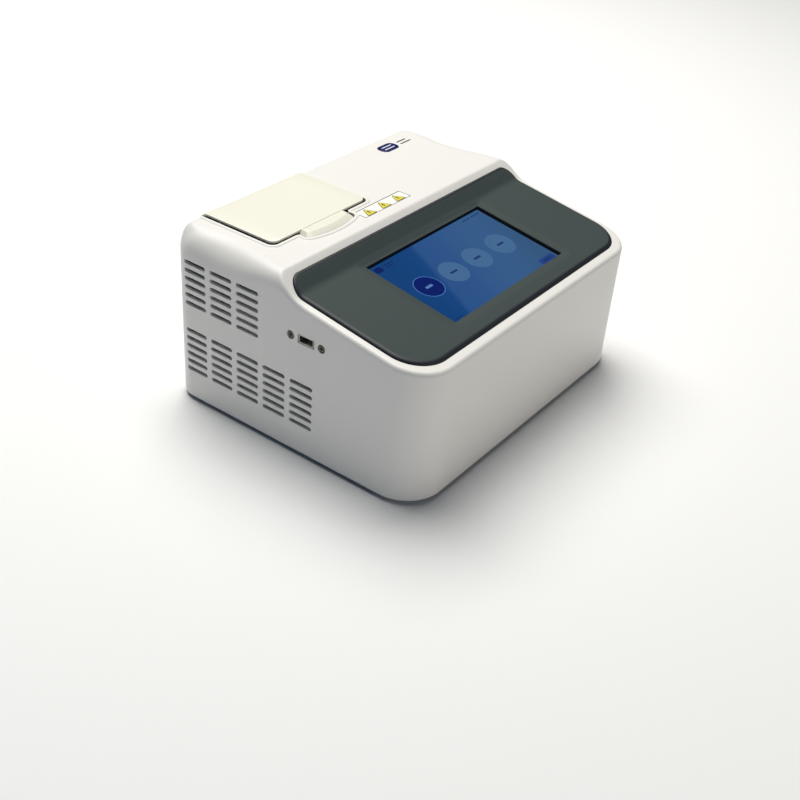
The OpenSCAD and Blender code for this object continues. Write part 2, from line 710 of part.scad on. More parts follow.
module hinge_bracket() rise() color("slategray") difference() {
    union() {
        box([-112, 105, tray_floor], [-24, 123, tray_floor + 2]);
        for (x = ear_x) {
            box([x - 3, hinge_y - 4.5, tray_floor + 1], [x + 3, hinge_y + 4.5, hinge_z]);
            rod_x(x - 3, x + 3, hinge_y, hinge_z, 6);
        }
    }
    rod_x(-120, -10, hinge_y, hinge_z, pin_r + 0.06);
    for (x = ear_x) translate([x, 109, tray_floor - cut]) cylinder(r = 1.7, h = 5);
}

module hinge_screws() rise() color("silver")
    for (x = ear_x) translate([x, 109, tray_floor + 2]) screw(2.7, 1.6, 1.45, 9);

module hinge_pin() rise() color("silver") rod_x(-111, -25.2, hinge_y, hinge_z, pin_r);

module lid_cover() rise() color("ivory") difference() {
    union() {
        intersection() {
            translate([0, 0, lid_top - 2.5]) linear_extrude(2.5)
                round_rect([lid_left, lid_front], [lid_right, half_d + 30], 6.5);
            box([lid_left, lid_front, 100], [lid_right, hinge_y, 200]);
        }
        // rolled rear edge, round the hinge axis
        difference() {
            rod_x(lid_left, lid_right, hinge_y, hinge_z, roll_r);
            rod_x(lid_left - cut, lid_right + cut, hinge_y, hinge_z, roll_r - 2.5);
            box([lid_left - cut, hinge_y - 20, hinge_z - 20], [lid_right + cut, hinge_y, hinge_z + 20]);
            translate([0, hinge_y, hinge_z]) rotate([-50, 0, 0])
                box([lid_left - cut, -20, -30], [lid_right + cut, 30, 0]);
        }
    }
    for (x = ear_x) box([x - 4, hinge_y + 0.5, 100], [x + 4, half_d + cut, lid_top - 1.2]);
}

module lid_handle() rise() color("ivory") intersection() {
    across(lid_x - handle_half, lid_x + handle_half)
        polygon([[lid_front + 4, lid_top - 2.6], [lid_front - 0.05, lid_top - 2.6],
                 [lid_front - 0.05, lid_top - 0.1], [handle_front + 6.2, lid_top - 0.2],
                 [handle_front + 0.4, lid_top - 3.1], [handle_front, lid_top - 3.8],
                 [handle_front, lid_top - 5.4], [handle_front + 5, 145.5], [lid_front + 4, 147.5]]);
    translate([lid_x, 0, 140]) linear_extrude(20)
        polygon(tongue(handle_half, handle_front, lid_front + 14, 4.8));
}

module lid_base() rise() color("dimgray") difference() {
    union() {
        difference() {
            translate([0, 0, base_low]) linear_extrude(lid_top - 2.6 - base_low)
                round_rect([lid_left + 1.2, lid_front + 1.2], [lid_right - 1.2, 106], 5.5);
            translate([0, 0, base_low - cut]) linear_extrude(lid_top - 5.1 - base_low + cut)
                round_rect([lid_left + 3.7, lid_front + 3.7], [lid_right - 3.7, 103.5], 3);
        }
        for (x = [-1, 1]) translate([lid_x + x * 50, 56, base_low]) cylinder(r = 6.5, h = 21);
        for (x = arm_x) {
            box([x - 4, 104, hinge_z - 5.5], [x + 4, hinge_y, hinge_z + 6]);
            rod_x(x - 4, x + 4, hinge_y, hinge_z, 6);
        }
    }
    for (x = [-1, 1]) translate([lid_x + x * 50, 56, base_low - cut]) cylinder(r = 4.5, h = 3 + cut);
    rod_x(-120, -10, hinge_y, hinge_z, pin_r);
    // seat for the handle's tongue
    box([lid_x - handle_half - 0.3, lid_front, 145.2], [lid_x + handle_half + 0.3, lid_front + 4.3, 160]);
}

module lid_magnets() rise() color("silver")
    for (x = [-1, 1]) translate([lid_x + x * 50, 56, base_low]) cylinder(r = 4.5, h = 3);

module lid_screws() rise() color("silver")
    for (x = [-1, 1], y = [0, 1]) translate([lid_x + x * 30, 62 + y * 30, lid_top - 5.1]) mirror([0, 0, 1])
        cylinder(r = 2.4, h = 1.4);

module lid_insulation() rise() color("khaki")
    box([lid_x - 42, block_y - 13, 138.5], [lid_x + 42, block_y + 13, 146.9]);

// Four compression springs that press the heated plate down
module plate_springs() rise() color("silver") for (x = [-1, 1], y = [-1, 1])
    translate([lid_x + x * 47, block_y + 0.4 + y * 17 + (y < 0 ? 7 : 0), 132.05]) difference() {
        cylinder(r = 3.4, h = 16.3);
        translate([0, 0, -cut]) cylinder(r = 2.5, h = 20);
    }

module plate_retainer() rise() color("dimgray") difference() {
    translate([0, 0, base_low - 1]) linear_extrude(2)
        round_rect([lid_x - 54.3, block_y - 25.6], [lid_x + 54.3, block_y + 26.4], 3);
    box([lid_x - 41.6, block_y - 22.6, 100], [lid_x + 41.6, block_y + 22.6, 140]);
    for (x = [-1, 1]) translate([lid_x + x * 50, 56, 100]) cylinder(r = 6.8, h = 60);
}

module heated_plate() rise() color("silver") difference() {
    union() {
        box([lid_x - 41, block_y - 22, plate_low], [lid_x + 41, block_y + 22, 130]);
        box([lid_x - 51.5, block_y - 24.5, 129.1], [lid_x + 51.5, block_y + 25, 132]);
    }
    for (x = [-1, 1]) translate([lid_x + x * 50, 56, 100]) cylinder(r = 7.2, h = 60);
}

module heater_mat() rise() color("sienna")
    box([lid_x - 41, block_y - 21, 132], [lid_x + 41, block_y + 21, 133.4]);

// ---------- Electronics ----------

module main_board() rise() color("green") difference() {
    box([-30, -105, board_low], [135, 10, board_top]);
    for (x = [-25, 130], y = [-100, 5]) translate([x, y, 10]) cylinder(r = 1.6, h = 10);
}

module board_parts() rise() color("dimgray") {
    for (x = [0, 34, 72]) box([x, -80, board_top], [x + 24, -58, 18.6]);
    for (i = [0, 1], j = [0 : 2])
        translate([100 + i * 14, -85 + j * 16, board_top]) cylinder(r = 4.5, h = 14);
    for (y = [-30, -12]) box([-24, y, board_top], [16, y + 9, 26]);
    box([22, -62 + 2.5, board_top], [42, -53.5, 20]);
    box([60, -36, board_top], [84, -12, 30]);
}

module board_standoffs() rise() color("goldenrod")
    for (x = [-25, 130], y = [-100, 5]) translate([x, y, floor_z]) {
        cylinder(r = 3, h = 12);
        cylinder(r = 1.5, h = 14.6);
        translate([0, 0, 13.6]) cylinder(r = 2.9, h = 2);
    }

module driver_board() rise() color("green") {
    box([-138, -95, board_low], [-46, -5, board_top]);
    for (x = [-133, -51], y = [-90, -10]) translate([x, y, floor_z]) cylinder(r = 3, h = 12);
    for (x = [-128, -112]) translate([x, -24, board_top]) cylinder(r = 5, h = 18);
    box([-80, -30, board_top], [-54, -16, 26]);
}

module driver_heat_sink() rise() color("silver") {
    box([-125, -80, board_top], [-60, -45, 20]);
    for (i = [0 : 9]) box([-125 + i * 7, -80, 19.5], [-123 + i * 7, -45, 38]);
}

module power_supply_case() rise() color("silver") difference() {
    box([10, 14, floor_z], [140, psu_rear, 46]);
    box([11.2, 15.2, floor_z + 1.2], [138.8, psu_rear - 1.2, 44.8]);
    // left end open for the terminals and the air
    box([0, 20, 10], [20, psu_rear - 6, 40]);
    for (i = [0 : 8]) box([30 + i * 11, 24, 40], [35 + i * 11, psu_rear - 10, 50]);
}

module power_supply_board() rise() color("green") {
    box([14, 18, 8], [136, psu_rear - 4, 9.6]);
    for (x = [18, 132], y = [22, psu_rear - 8]) translate([x, y, floor_z + 1.2]) cylinder(r = 2, h = 4.5);
    box([60, 32, 9.6], [92, 64, 38]);
    for (y = [30, 49, 68]) translate([118, y, 9.6]) cylinder(r = 8, h = 26);
    box([22, 22, 9.6], [32, psu_rear - 8, 22]);
    box([98, 22, 9.6], [101, psu_rear - 8, 36]);
}

module mains_inlet() rise() color("dimgray") difference() {
    union() {
        box([inlet_x - 16, panel_out, inlet_z - 18.5], [inlet_x + 16, panel_out + 2.4, inlet_z + 18.5]);
        box([inlet_x - 13.8, panel_in - 24, inlet_z - 15.8], [inlet_x + 13.8, panel_out + 1, inlet_z + 15.8]);
    }
    // socket
    box([inlet_x - 12.2, panel_in - 16, inlet_z - 14], [inlet_x + 12.2, panel_out + 4, inlet_z + 2.4]);
    // slot for the fuse drawer
    box([inlet_x - 11, panel_in - 20, inlet_z + 5.2], [inlet_x + 11, panel_out + 4, inlet_z + 14.8]);
    inlet_blades();
}

// Three contact blades in the socket and their tabs behind it
module inlet_blades() for (p = blade_places)
    translate([inlet_x + p.x, 0, inlet_z + p.y]) box([-1, panel_in - 28, -2], [1, panel_in - 4, 2]);

module inlet_pins() rise() color("silver") inlet_blades();

module fuse_drawer() rise() color("dimgray") difference() {
    union() {
        box([inlet_x - 10.6, panel_in - 19.4, inlet_z + 5.6],
            [inlet_x + 10.6, panel_out + 1.4, inlet_z + 14.4]);
        box([inlet_x - 9, panel_out + 1, inlet_z + 12.4], [inlet_x + 9, panel_out + 3, inlet_z + 14.4]);
    }
    for (side = [-1, 1]) box([inlet_x + side * 5 - 3.2, panel_in - 18, inlet_z + 7.4],
                             [inlet_x + side * 5 + 3.2, panel_in - 1, inlet_z + 15]);
}

module fuses() rise() color("lightblue") for (side = [-1, 1])
    rod_y(inlet_x + side * 5, panel_in - 18, panel_in - 1, inlet_z + 10.6, 2.5);

module switch_frame() rise() color("dimgray") difference() {
    union() {
        box([switch_x - 13, panel_out, switch_z - 9], [switch_x + 13, panel_out + 1.6, switch_z + 9]);
        box([switch_x - 10.8, panel_in - 16, switch_z - 6.8],
            [switch_x + 10.8, panel_out + 1, switch_z + 6.8]);
    }
    box([switch_x - 9.6, panel_in - 9, switch_z - 5.6], [switch_x + 9.6, panel_out + 3, switch_z + 5.6]);
    // bearing holes for the rocker's trunnions
    translate([switch_x, panel_in - 2, switch_z - 6.4]) cylinder(r = 1.26, h = 12.8);
}

module switch_rocker() rise() color("dimgray")
    translate([switch_x, panel_in - 2, switch_z]) rotate([0, 0, switch_tilt]) {
        translate([0, 0, -6.3]) cylinder(r = 1.2, h = 12.6);
        translate([0, 0, -5.3]) linear_extrude(10.6)
            polygon([[-8.6, 4], [0, 3], [8.6, 4], [7.4, -2], [0, -4], [-7.4, -2]]);
    }

// Wires held inside the case: mains to the power supply, and block to driver board
module wiring() rise() color("firebrick") {
    for (i = [0 : 2]) {
        x = inlet_x + blade_places[i].x;
        y = 60 - i * 8;
        z = inlet_z + blade_places[i].y;
        wire([[x, panel_in - 28.3, z], [x, panel_in - 31, z], [x, panel_in - 32, 51],
              [x - 5, 74 - i * 4, 51], [12 - i * 3, y, 51], [4, y, 40], [4, y, 16], [21.9, y, 16]], 1.4);
    }
    for (i = [0 : 1]) {
        x = lid_x + 8 + i * 5;
        wire([[x, block_y - 19.8, sink_top + 2], [x, 42, sink_top + 2], [x, 38, 88], [x, -2, 50],
              [-70 + i * 5, -20, 27.7]], 1.6);
    }
}

upper_housing();
base_pan();
rubber_feet();
foot_screws();
case_screws();
rear_panel();
rear_panel_screws();
screen_bezel();
bezel_screws();
touch_glass();
lcd_module();
lcd_bracket();
display_board();
display_ribbon();
usb_socket();
usb_tongue();
usb_board();
usb_screws();
block_tray();
catch_plates();
block_gasket();
sample_block();
peltier_modules();
block_screws();
heat_sink();
heat_sink_stand();
block_fan_frame();
block_fan_rotor();
block_fan_guard();
case_fan_frame();
case_fan_rotor();
case_fan_guard();
fan_screws();
hinge_bracket();
hinge_screws();
hinge_pin();
lid_cover();
lid_handle();
lid_base();
lid_magnets();
lid_screws();
lid_insulation();
plate_springs();
plate_retainer();
heated_plate();
heater_mat();
main_board();
board_parts();
board_standoffs();
driver_board();
driver_heat_sink();
power_supply_case();
power_supply_board();
mains_inlet();
inlet_pins();
fuse_drawer();
fuses();
switch_frame();
switch_rocker();
wiring();
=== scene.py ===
import json
import math

import bmesh
import bpy
import numpy as np
from mathutils import Matrix, Vector


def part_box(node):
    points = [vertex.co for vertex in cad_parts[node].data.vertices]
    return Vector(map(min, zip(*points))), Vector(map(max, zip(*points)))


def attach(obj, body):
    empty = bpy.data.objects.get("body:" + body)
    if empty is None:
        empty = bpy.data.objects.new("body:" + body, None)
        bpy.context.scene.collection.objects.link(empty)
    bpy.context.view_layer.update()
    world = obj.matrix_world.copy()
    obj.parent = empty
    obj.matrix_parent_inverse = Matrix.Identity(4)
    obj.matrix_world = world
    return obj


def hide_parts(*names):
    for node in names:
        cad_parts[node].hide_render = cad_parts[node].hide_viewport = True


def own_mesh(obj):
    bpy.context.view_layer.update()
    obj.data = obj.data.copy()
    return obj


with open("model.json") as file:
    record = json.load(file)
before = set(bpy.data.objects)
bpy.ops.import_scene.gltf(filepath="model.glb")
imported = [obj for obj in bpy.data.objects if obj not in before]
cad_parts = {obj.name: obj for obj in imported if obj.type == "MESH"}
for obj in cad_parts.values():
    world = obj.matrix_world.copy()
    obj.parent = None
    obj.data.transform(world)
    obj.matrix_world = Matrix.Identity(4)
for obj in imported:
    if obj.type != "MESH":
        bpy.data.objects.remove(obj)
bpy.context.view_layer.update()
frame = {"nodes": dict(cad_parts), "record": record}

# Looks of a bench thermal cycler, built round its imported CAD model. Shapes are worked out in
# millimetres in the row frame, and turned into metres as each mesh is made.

MM = 0.001


def box_mm(node):
    """Lowest and highest corner of a CAD node, in millimetres."""
    low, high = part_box(node)
    return np.array(low) / MM, np.array(high) / MM


# ---------- Sizes, in millimetres ----------

HOUSING_LOW, HOUSING_HIGH = box_mm("upper_housing")
LID_LOW, LID_HIGH = box_mm("lid_cover")

# The case: its plan, the fillets along its top edges, and the screen's slope with its turn-up.
HALF_W, HALF_D = HOUSING_HIGH[0], HOUSING_HIGH[1]
FLOOR_Z = HOUSING_LOW[2]
LIP_H = 0.9
TOP_Z = HOUSING_HIGH[2] - LIP_H
WALL = 3.0
FRONT_R, REAR_R = 34.0, 20.0
SIDE_FILLET, FRONT_SIDE_FILLET, REAR_FILLET = 25.0, 12.0, 8.0
RIM_FILLET, SHOULDER_FILLET = 3.6, 4.5
SLOPE, STEEP = math.radians(9.1), math.radians(39.5)
SEAT_Z = 139.4
BEND_Y, BEND_R, SIDE_BEND_R = -3.5, 12.0, 46.0

# Openings in the case: side slots, the rear panel's window, and the USB socket with its two screws.
SLOT_ROWS, SLOT_PITCH_Y, SLOT_PITCH_Z = 6, 28.15, 7.41
SLOT_LENGTH, SLOT_H, SLOT_REAR = 23.0, 3.2, 83.7
UPPER_SLOTS_Z, LOWER_SLOTS_Z = 131.1, 68.4
PANEL_HALF, PANEL_LOW, PANEL_HIGH = 130.0, 17.0, 112.0
USB_HALF_Y, USB_HALF_Z, USB_SCREW_OUT = 8.1, 3.9, 15.2

# The dark panel and the opening for the screen in it.
BEZEL_W, BEZEL_FRONT, BEZEL_REAR = 153.2, -118.3, 10.8
BEZEL_FRONT_R, BEZEL_REAR_R = 30.0, 13.0
BEZEL_H = 2.5
ROLL_W, ROLL_H = 4.2, 2.2
WINDOW_INSET = 6.0
OPENING_W, OPENING_FRONT, OPENING_REAR = 79.8, -96.6, -8.4
FRAME_W, FRAME_REAR_W, FRAME_DEPTH = 8.0, 5.4, 1.4
GLASS_Z = SEAT_Z - 1.2
TILE_Y = -53.4
TILES = [(-55.0, 12.6), (-20.6, 13.4), (13.4, 13.6), (48.5, 13.8)]

# The lid, its hinge and the recess that it lies in.
LID_X = (LID_LOW[0] + LID_HIGH[0]) / 2
LID_HALF = (LID_HIGH[0] - LID_LOW[0]) / 2
LID_FRONT, LID_TOP = LID_LOW[1], LID_HIGH[2]
LID_PLATE, LID_SKIN, LID_CORNER = 2.5, 1.7, 6.5
HINGE_Y, HINGE_Z, ROLL_R = 118.0, 148.5, 9.0
BRACKETS_X, BRACKET_HALF = (-96.5, -39.7), 4.0
RECESS_GAP, RECESS_FRONT = 2.0, LID_FRONT - 1.5
RECESS_FLOOR = 141.0
TONGUE_HALF, TONGUE_FRONT, TONGUE_BOW = 30.2, 30.6, 5.4
LIP_END_Y = 121.5

# Springs behind the heated plate, and the travel that squeezes them.
SPRING_PLACES = [(-115.1, 67.4), (-21.1, 67.4), (-115.1, 94.4), (-21.1, 94.4)]
SPRING_R, SPRING_WIRE, SPRING_TURNS = 2.9, 0.45, 7

# ---------- Outlines ----------


def half_loop(u, half_w, front, rear, front_r, rear_r):
    """Point and outward normal at place u, 0 to 5, round the left half of a rounded rectangle.

    The five stretches are the front edge from its middle, the front corner, the side, the rear
    corner and the rear edge to its middle.
    """
    u = np.asarray(u, float)
    k = np.minimum(u.astype(int), 4)
    f = u - k
    turn = f * math.pi / 2
    x = np.select(
        [k == 0, k == 1, k == 2, k == 3],
        [
            -f * (half_w - front_r),
            -(half_w - front_r) - front_r * np.sin(turn),
            -half_w + 0 * f,
            -(half_w - rear_r) - rear_r * np.cos(turn),
        ],
        -(half_w - rear_r) * (1 - f),
    )
    y = np.select(
        [k == 0, k == 1, k == 2, k == 3],
        [
            front + 0 * f,
            front + front_r * (1 - np.cos(turn)),
            front + front_r + f * (rear - front - front_r - rear_r),
            rear - rear_r + rear_r * np.sin(turn),
        ],
        rear,
    )
    angle = np.select(
        [k == 0, k == 1, k == 2, k == 3],
        [0 * f, turn, 0 * f + math.pi / 2, turn + math.pi / 2],
        math.pi,
    )
    normal = np.stack([-np.sin(angle), -np.cos(angle)], -1)
    return np.stack([x, y], -1), normal


def mirrored(half):
    """A left half, front middle to rear middle, made whole: the right half follows in reverse."""
    other = half[1:-1][::-1] * np.array([-1] + [1] * (half.shape[-1] - 1))
    return np.concatenate([half, other])


def stations(*counts):
    """Places along the five stretches of half_loop, evenly spread within each."""
    places = [k + np.arange(n) / n for k, n in enumerate(counts)]
    return np.concatenate(places + [[5.0]])


def rounded_path(corners, steps=8):
    """A path through corners given as (x, y, radius), each corner rounded."""
    path = []
    last = len(corners) - 1
    for i, (x, y, r) in enumerate(corners):
        here = np.array([x, y])
        if i in (0, last) or r == 0:
            path.append(here)
            continue
        a, b = np.array(corners[i - 1][:2]) - here, np.array(corners[i + 1][:2]) - here
        a, b = a / np.linalg.norm(a), b / np.linalg.norm(b)
        half = math.acos(np.clip(a @ b, -1, 1)) / 2
        middle = here + (a + b) / np.linalg.norm(a + b) * r / math.sin(half)
        start, end = here + a * r / math.tan(half) - middle, here + b * r / math.tan(half) - middle
        total = math.acos(np.clip(start @ end / r**2, -1, 1))
        for t in np.linspace(0, 1, steps + 1):
            spoke = math.sin((1 - t) * total) * start + math.sin(t * total) * end
            path.append(middle + spoke / math.sin(total))
    return np.array(path)


def recess_path(rear):
    """Edge of the lid's recess, from its rear left end round the front to its rear right end."""
    left, right = LID_X - LID_HALF - RECESS_GAP, LID_X + LID_HALF + RECESS_GAP
    bow = [(x, TONGUE_FRONT + TONGUE_BOW * (x / TONGUE_HALF) ** 2) for x in np.linspace(-24, 24, 17)]
    shoulder = bow[0][1] + 2.0
    tongue = [(LID_X - TONGUE_HALF, RECESS_FRONT, 3), (LID_X - TONGUE_HALF, shoulder, 4.5)]
    tongue += [(LID_X + x, y, 0) for x, y in bow]
    tongue += [(LID_X + TONGUE_HALF, shoulder, 4.5), (LID_X + TONGUE_HALF, RECESS_FRONT, 3)]
    left_side = [(left, rear, 0), (left, RECESS_FRONT, 6)]
    right_side = [(right, RECESS_FRONT, 6), (right, rear, 0)]
    return rounded_path(left_side + tongue + right_side)


# ---------- The case's outside, as a surface ----------


def side_profile(y, lift=0.0, bend_r=BEND_R):
    """Height and slope angle of the rim plane, its concave bend and the steep shoulder, at depth y."""
    y = np.asarray(y, float)
    bend_z = SEAT_Z + math.tan(SLOPE) * BEND_Y
    tangent = bend_r * math.tan((STEEP - SLOPE) / 2)
    start, end = BEND_Y - tangent * math.cos(SLOPE), BEND_Y + tangent * math.cos(STEEP)
    centre_y = start - bend_r * math.sin(SLOPE)
    centre_z = SEAT_Z + math.tan(SLOPE) * start + bend_r * math.cos(SLOPE)
    in_bend = np.clip(y, start, end) - centre_y
    z = np.where(y < start, SEAT_Z + math.tan(SLOPE) * y, bend_z + math.tan(STEEP) * (y - BEND_Y))
    z = np.where((y >= start) & (y <= end), centre_z - np.sqrt(bend_r**2 - in_bend**2), z)
    angle = np.where(y < start, SLOPE, np.where(y > end, STEEP, np.arcsin(in_bend / bend_r)))
    return z + lift, angle


def smooth_step(x, low, high):
    t = np.clip((x - low) / (high - low), 0, 1)
    return t * t * (3 - 2 * t)


def case_distance(p):
    """Signed distance to the case's outside, with every outer edge rounded by a rolling ball."""
    x, y, z = p[..., 0], p[..., 1], p[..., 2]
    corner = np.where(y < 0, FRONT_R, REAR_R)
    qx, qy = np.abs(x) - (HALF_W - corner), np.abs(y) - (HALF_D - corner)
    px, py = np.maximum(qx, 0), np.maximum(qy, 0)
    reach = np.maximum(np.hypot(px, py), 1e-9)
    outside = np.hypot(px, py) + np.minimum(np.maximum(qx, qy), 0) - corner
    both = (px > 0) & (py > 0)
    normal_x = np.where(both, px / reach, (qx >= qy).astype(float))
    normal_y = np.where(both, py / reach, (qx < qy).astype(float)) * np.sign(y)
    side_r = FRONT_SIDE_FILLET + (SIDE_FILLET - FRONT_SIDE_FILLET) * smooth_step(y, 14, 80)
    side_r = side_r - 4 * smooth_step(y, 80, 107)
    radius = REAR_FILLET + (side_r - REAR_FILLET) * smooth_step(normal_x, 0.0, 1.0)
    a, b = radius + outside, radius + z - TOP_Z
    a_in, b_in = np.maximum(a, 0), np.maximum(b, 0)
    span = np.maximum(np.hypot(a_in, b_in), 1e-9)
    body = np.hypot(a_in, b_in) + np.minimum(np.maximum(a, b), 0) - radius
    part_out = np.where((a > 0) & (b > 0), a_in / span, (a >= b).astype(float))
    part_up = np.where((a > 0) & (b > 0), b_in / span, (a < b).astype(float))
    height, angle = side_profile(y)
    soft_height, soft_angle = side_profile(y, bend_r=SIDE_BEND_R)
    at_side = smooth_step(np.abs(x), BEZEL_W - 1, HALF_W - 1)
    height, angle = height + at_side * (soft_height - height), angle + at_side * (soft_angle - angle)
    slope = (z - height) * np.cos(angle)
    cosine = np.clip(-np.sin(angle) * part_out * normal_y + np.cos(angle) * part_up, -0.99, 0.995)
    ball = RIM_FILLET + (SHOULDER_FILLET - RIM_FILLET) * smooth_step(y, 2, 18)
    u, v = body + ball, slope + ball
    wedge = (u > v * cosine) & (v > u * cosine) & (np.maximum(u, v) > 0)
    length = np.sqrt(np.maximum(u * u + v * v - 2 * u * v * cosine, 0) / (1 - cosine**2))
    return np.where(wedge, length - ball, np.maximum(body, slope))


def on_case(p, upright):
    """Moves points onto the case's outside: straight up or down where upright, else the nearest way."""
    p = p.copy()
    e = 0.02
    for _ in range(14):
        value = case_distance(p)
        shift = [np.array([e if i == k else 0.0 for i in range(3)]) for k in range(3)]
        gradient = np.stack([(case_distance(p + s) - case_distance(p - s)) / (2 * e) for s in shift], -1)
        gradient[upright, :2] = 0
        square = np.maximum((gradient**2).sum(-1), 0.05)
        p -= (value / square * 0.9)[..., None] * gradient
    return p


# ---------- Mesh making ----------


def new_piece(name, points, faces, smooth=35):
    """A mesh object from points in millimetres, with edges sharper than the smooth angle kept sharp."""
    mesh = bpy.data.meshes.new(name)
    mesh.from_pydata((np.asarray(points, float) * MM).tolist(), [], [list(map(int, f)) for f in faces])
    bm = bmesh.new()
    bm.from_mesh(mesh)
    bmesh.ops.recalc_face_normals(bm, faces=bm.faces)
    bm.to_mesh(mesh)
    bm.free()
    piece = bpy.data.objects.new(name, mesh)
    bpy.context.scene.collection.objects.link(piece)
    return shade(piece, smooth)


def shade(piece, smooth):
    """Shades a piece smooth, apart from edges sharper than the angle."""
    piece.data.shade_smooth()
    piece.data.set_sharp_from_angle(angle=math.radians(smooth))
    return piece


def strip_faces(rings, count, closed=True):
    """Quads between rings that follow each other, each of count points."""
    faces = []
    for r in range(rings - 1):
        for i in range(count if closed else count - 1):
            j = (i + 1) % count
            faces.append((r * count + i, r * count + j, (r + 1) * count + j, (r + 1) * count + i))
    return faces


def from_rings(name, rings, caps=(True, True), smooth=35):
    """A piece skinned over closed rings of equal count, with flat caps on its first and last ring."""
    rings = [np.asarray(r, float) for r in rings]
    count = len(rings[0])
    faces = strip_faces(len(rings), count)
    if caps[0]:
        faces.append(tuple(range(count)))
    if caps[1]:
        faces.append(tuple(range((len(rings) - 1) * count, len(rings) * count)))
    return new_piece(name, np.concatenate(rings), faces, smooth)


def slab(name, outline, low, high, edge=0.0, smooth=35):
    """A flat piece with the given outline in plan, its upper edge rounded off by edge."""
    outline = np.asarray(outline, float)
    rings = [(outline, low), (outline, high - edge)]
    if edge:
        for t in (30, 60, 90):
            inset = edge * (1 - math.cos(math.radians(t)))
            rings.append((shrunk(outline, inset), high - edge * (1 - math.sin(math.radians(t)))))
    return from_rings(name, [np.c_[o, np.full(len(o), z)] for o, z in rings], smooth=smooth)


def shrunk(outline, inset):
    """A closed outline moved inwards by inset."""
    ahead, behind = np.roll(outline, -1, 0) - outline, outline - np.roll(outline, 1, 0)
    tangent = ahead / np.linalg.norm(ahead, axis=1)[:, None]
    tangent = tangent + behind / np.linalg.norm(behind, axis=1)[:, None]
    tangent /= np.linalg.norm(tangent, axis=1)[:, None]
    area = (outline[:, 0] * np.roll(outline[:, 1], -1) - np.roll(outline[:, 0], -1) * outline[:, 1]).sum()
    inward = np.stack([-tangent[:, 1], tangent[:, 0]], -1) * np.sign(area)
    return outline + inward * inset


def rectangle(x0, y0, x1, y1, r, steps=6):
    """A closed outline of a rectangle with round corners."""
    points = []
    centres = ((x1 - r, y1 - r, 0), (x0 + r, y1 - r, 90), (x0 + r, y0 + r, 180), (x1 - r, y0 + r, 270))
    for cx, cy, turn in centres:
        for t in np.radians(np.linspace(turn, turn + 90, steps + 1)):
            points.append((cx + r * math.cos(t), cy + r * math.sin(t)))
    return np.array(points)


def disc(x, y, r, steps=48):
    """A closed round outline."""
    t = np.arange(steps) * 2 * math.pi / steps
    return np.stack([x + r * np.cos(t), y + r * np.sin(t)], -1)


def swept(name, path, normals, profile, rise, smooth=50):
    """A profile of (offset outwards, height) points carried along an open path, closed at both ends."""
    rings = []
    for (x, y), (nx, ny), z in zip(path, normals, rise):
        rings.append([(x + nx * o, y + ny * o, z + h) for o, h in profile])
    return from_rings(name, rings, smooth=smooth)


def cut(piece, cutter, operation="DIFFERENCE"):
    """Cuts a piece with another, which is then thrown away."""
    modifier = piece.modifiers.new("cut", "BOOLEAN")
    modifier.operation = operation
    modifier.solver = "MANIFOLD"
    modifier.object = cutter
    bake(piece)
    bpy.data.objects.remove(cutter)


def bake(piece):
    """Applies a piece's modifiers to its mesh."""
    graph = bpy.context.evaluated_depsgraph_get()
    mesh = bpy.data.meshes.new_from_object(piece.evaluated_get(graph))
    piece.modifiers.clear()
    piece.data = mesh


def joined(name, pieces):
    """Several meshes made into one piece."""
    bm = bmesh.new()
    for piece in pieces:
        bm.from_mesh(piece.data)
        bpy.data.objects.remove(piece)
    mesh = bpy.data.meshes.new(name)
    bm.to_mesh(mesh)
    bm.free()
    whole = bpy.data.objects.new(name, mesh)
    bpy.context.scene.collection.objects.link(whole)
    return whole


def thicken(piece, thickness, lining=0):
    """Gives an open surface a wall on its inner side. lining is the material index of its inside."""
    modifier = piece.modifiers.new("wall", "SOLIDIFY")
    modifier.thickness = thickness * MM
    modifier.offset = -1
    modifier.use_even_offset = False
    modifier.material_offset = lining
    bake(piece)


def soften(piece, width, segments=2, angle=50):
    """Rounds off a piece's sharp edges."""
    modifier = piece.modifiers.new("soften", "BEVEL")
    modifier.width = width * MM
    modifier.segments = segments
    modifier.limit_method = "ANGLE"
    modifier.angle_limit = math.radians(angle)
    modifier.use_clamp_overlap = True
    bake(piece)


# ---------- Case ----------


def case_side_places():
    """Places along the side, close together where the shoulder runs into it."""
    length = 2 * HALF_D - FRONT_R - REAR_R
    start = -HALF_D + FRONT_R
    stretches = ((start, -22, 12), (-22, 34, 52), (34, 107, 18))
    y = np.concatenate([np.linspace(*stretch)[:-1] for stretch in stretches])
    return 2 + (y - start) / length


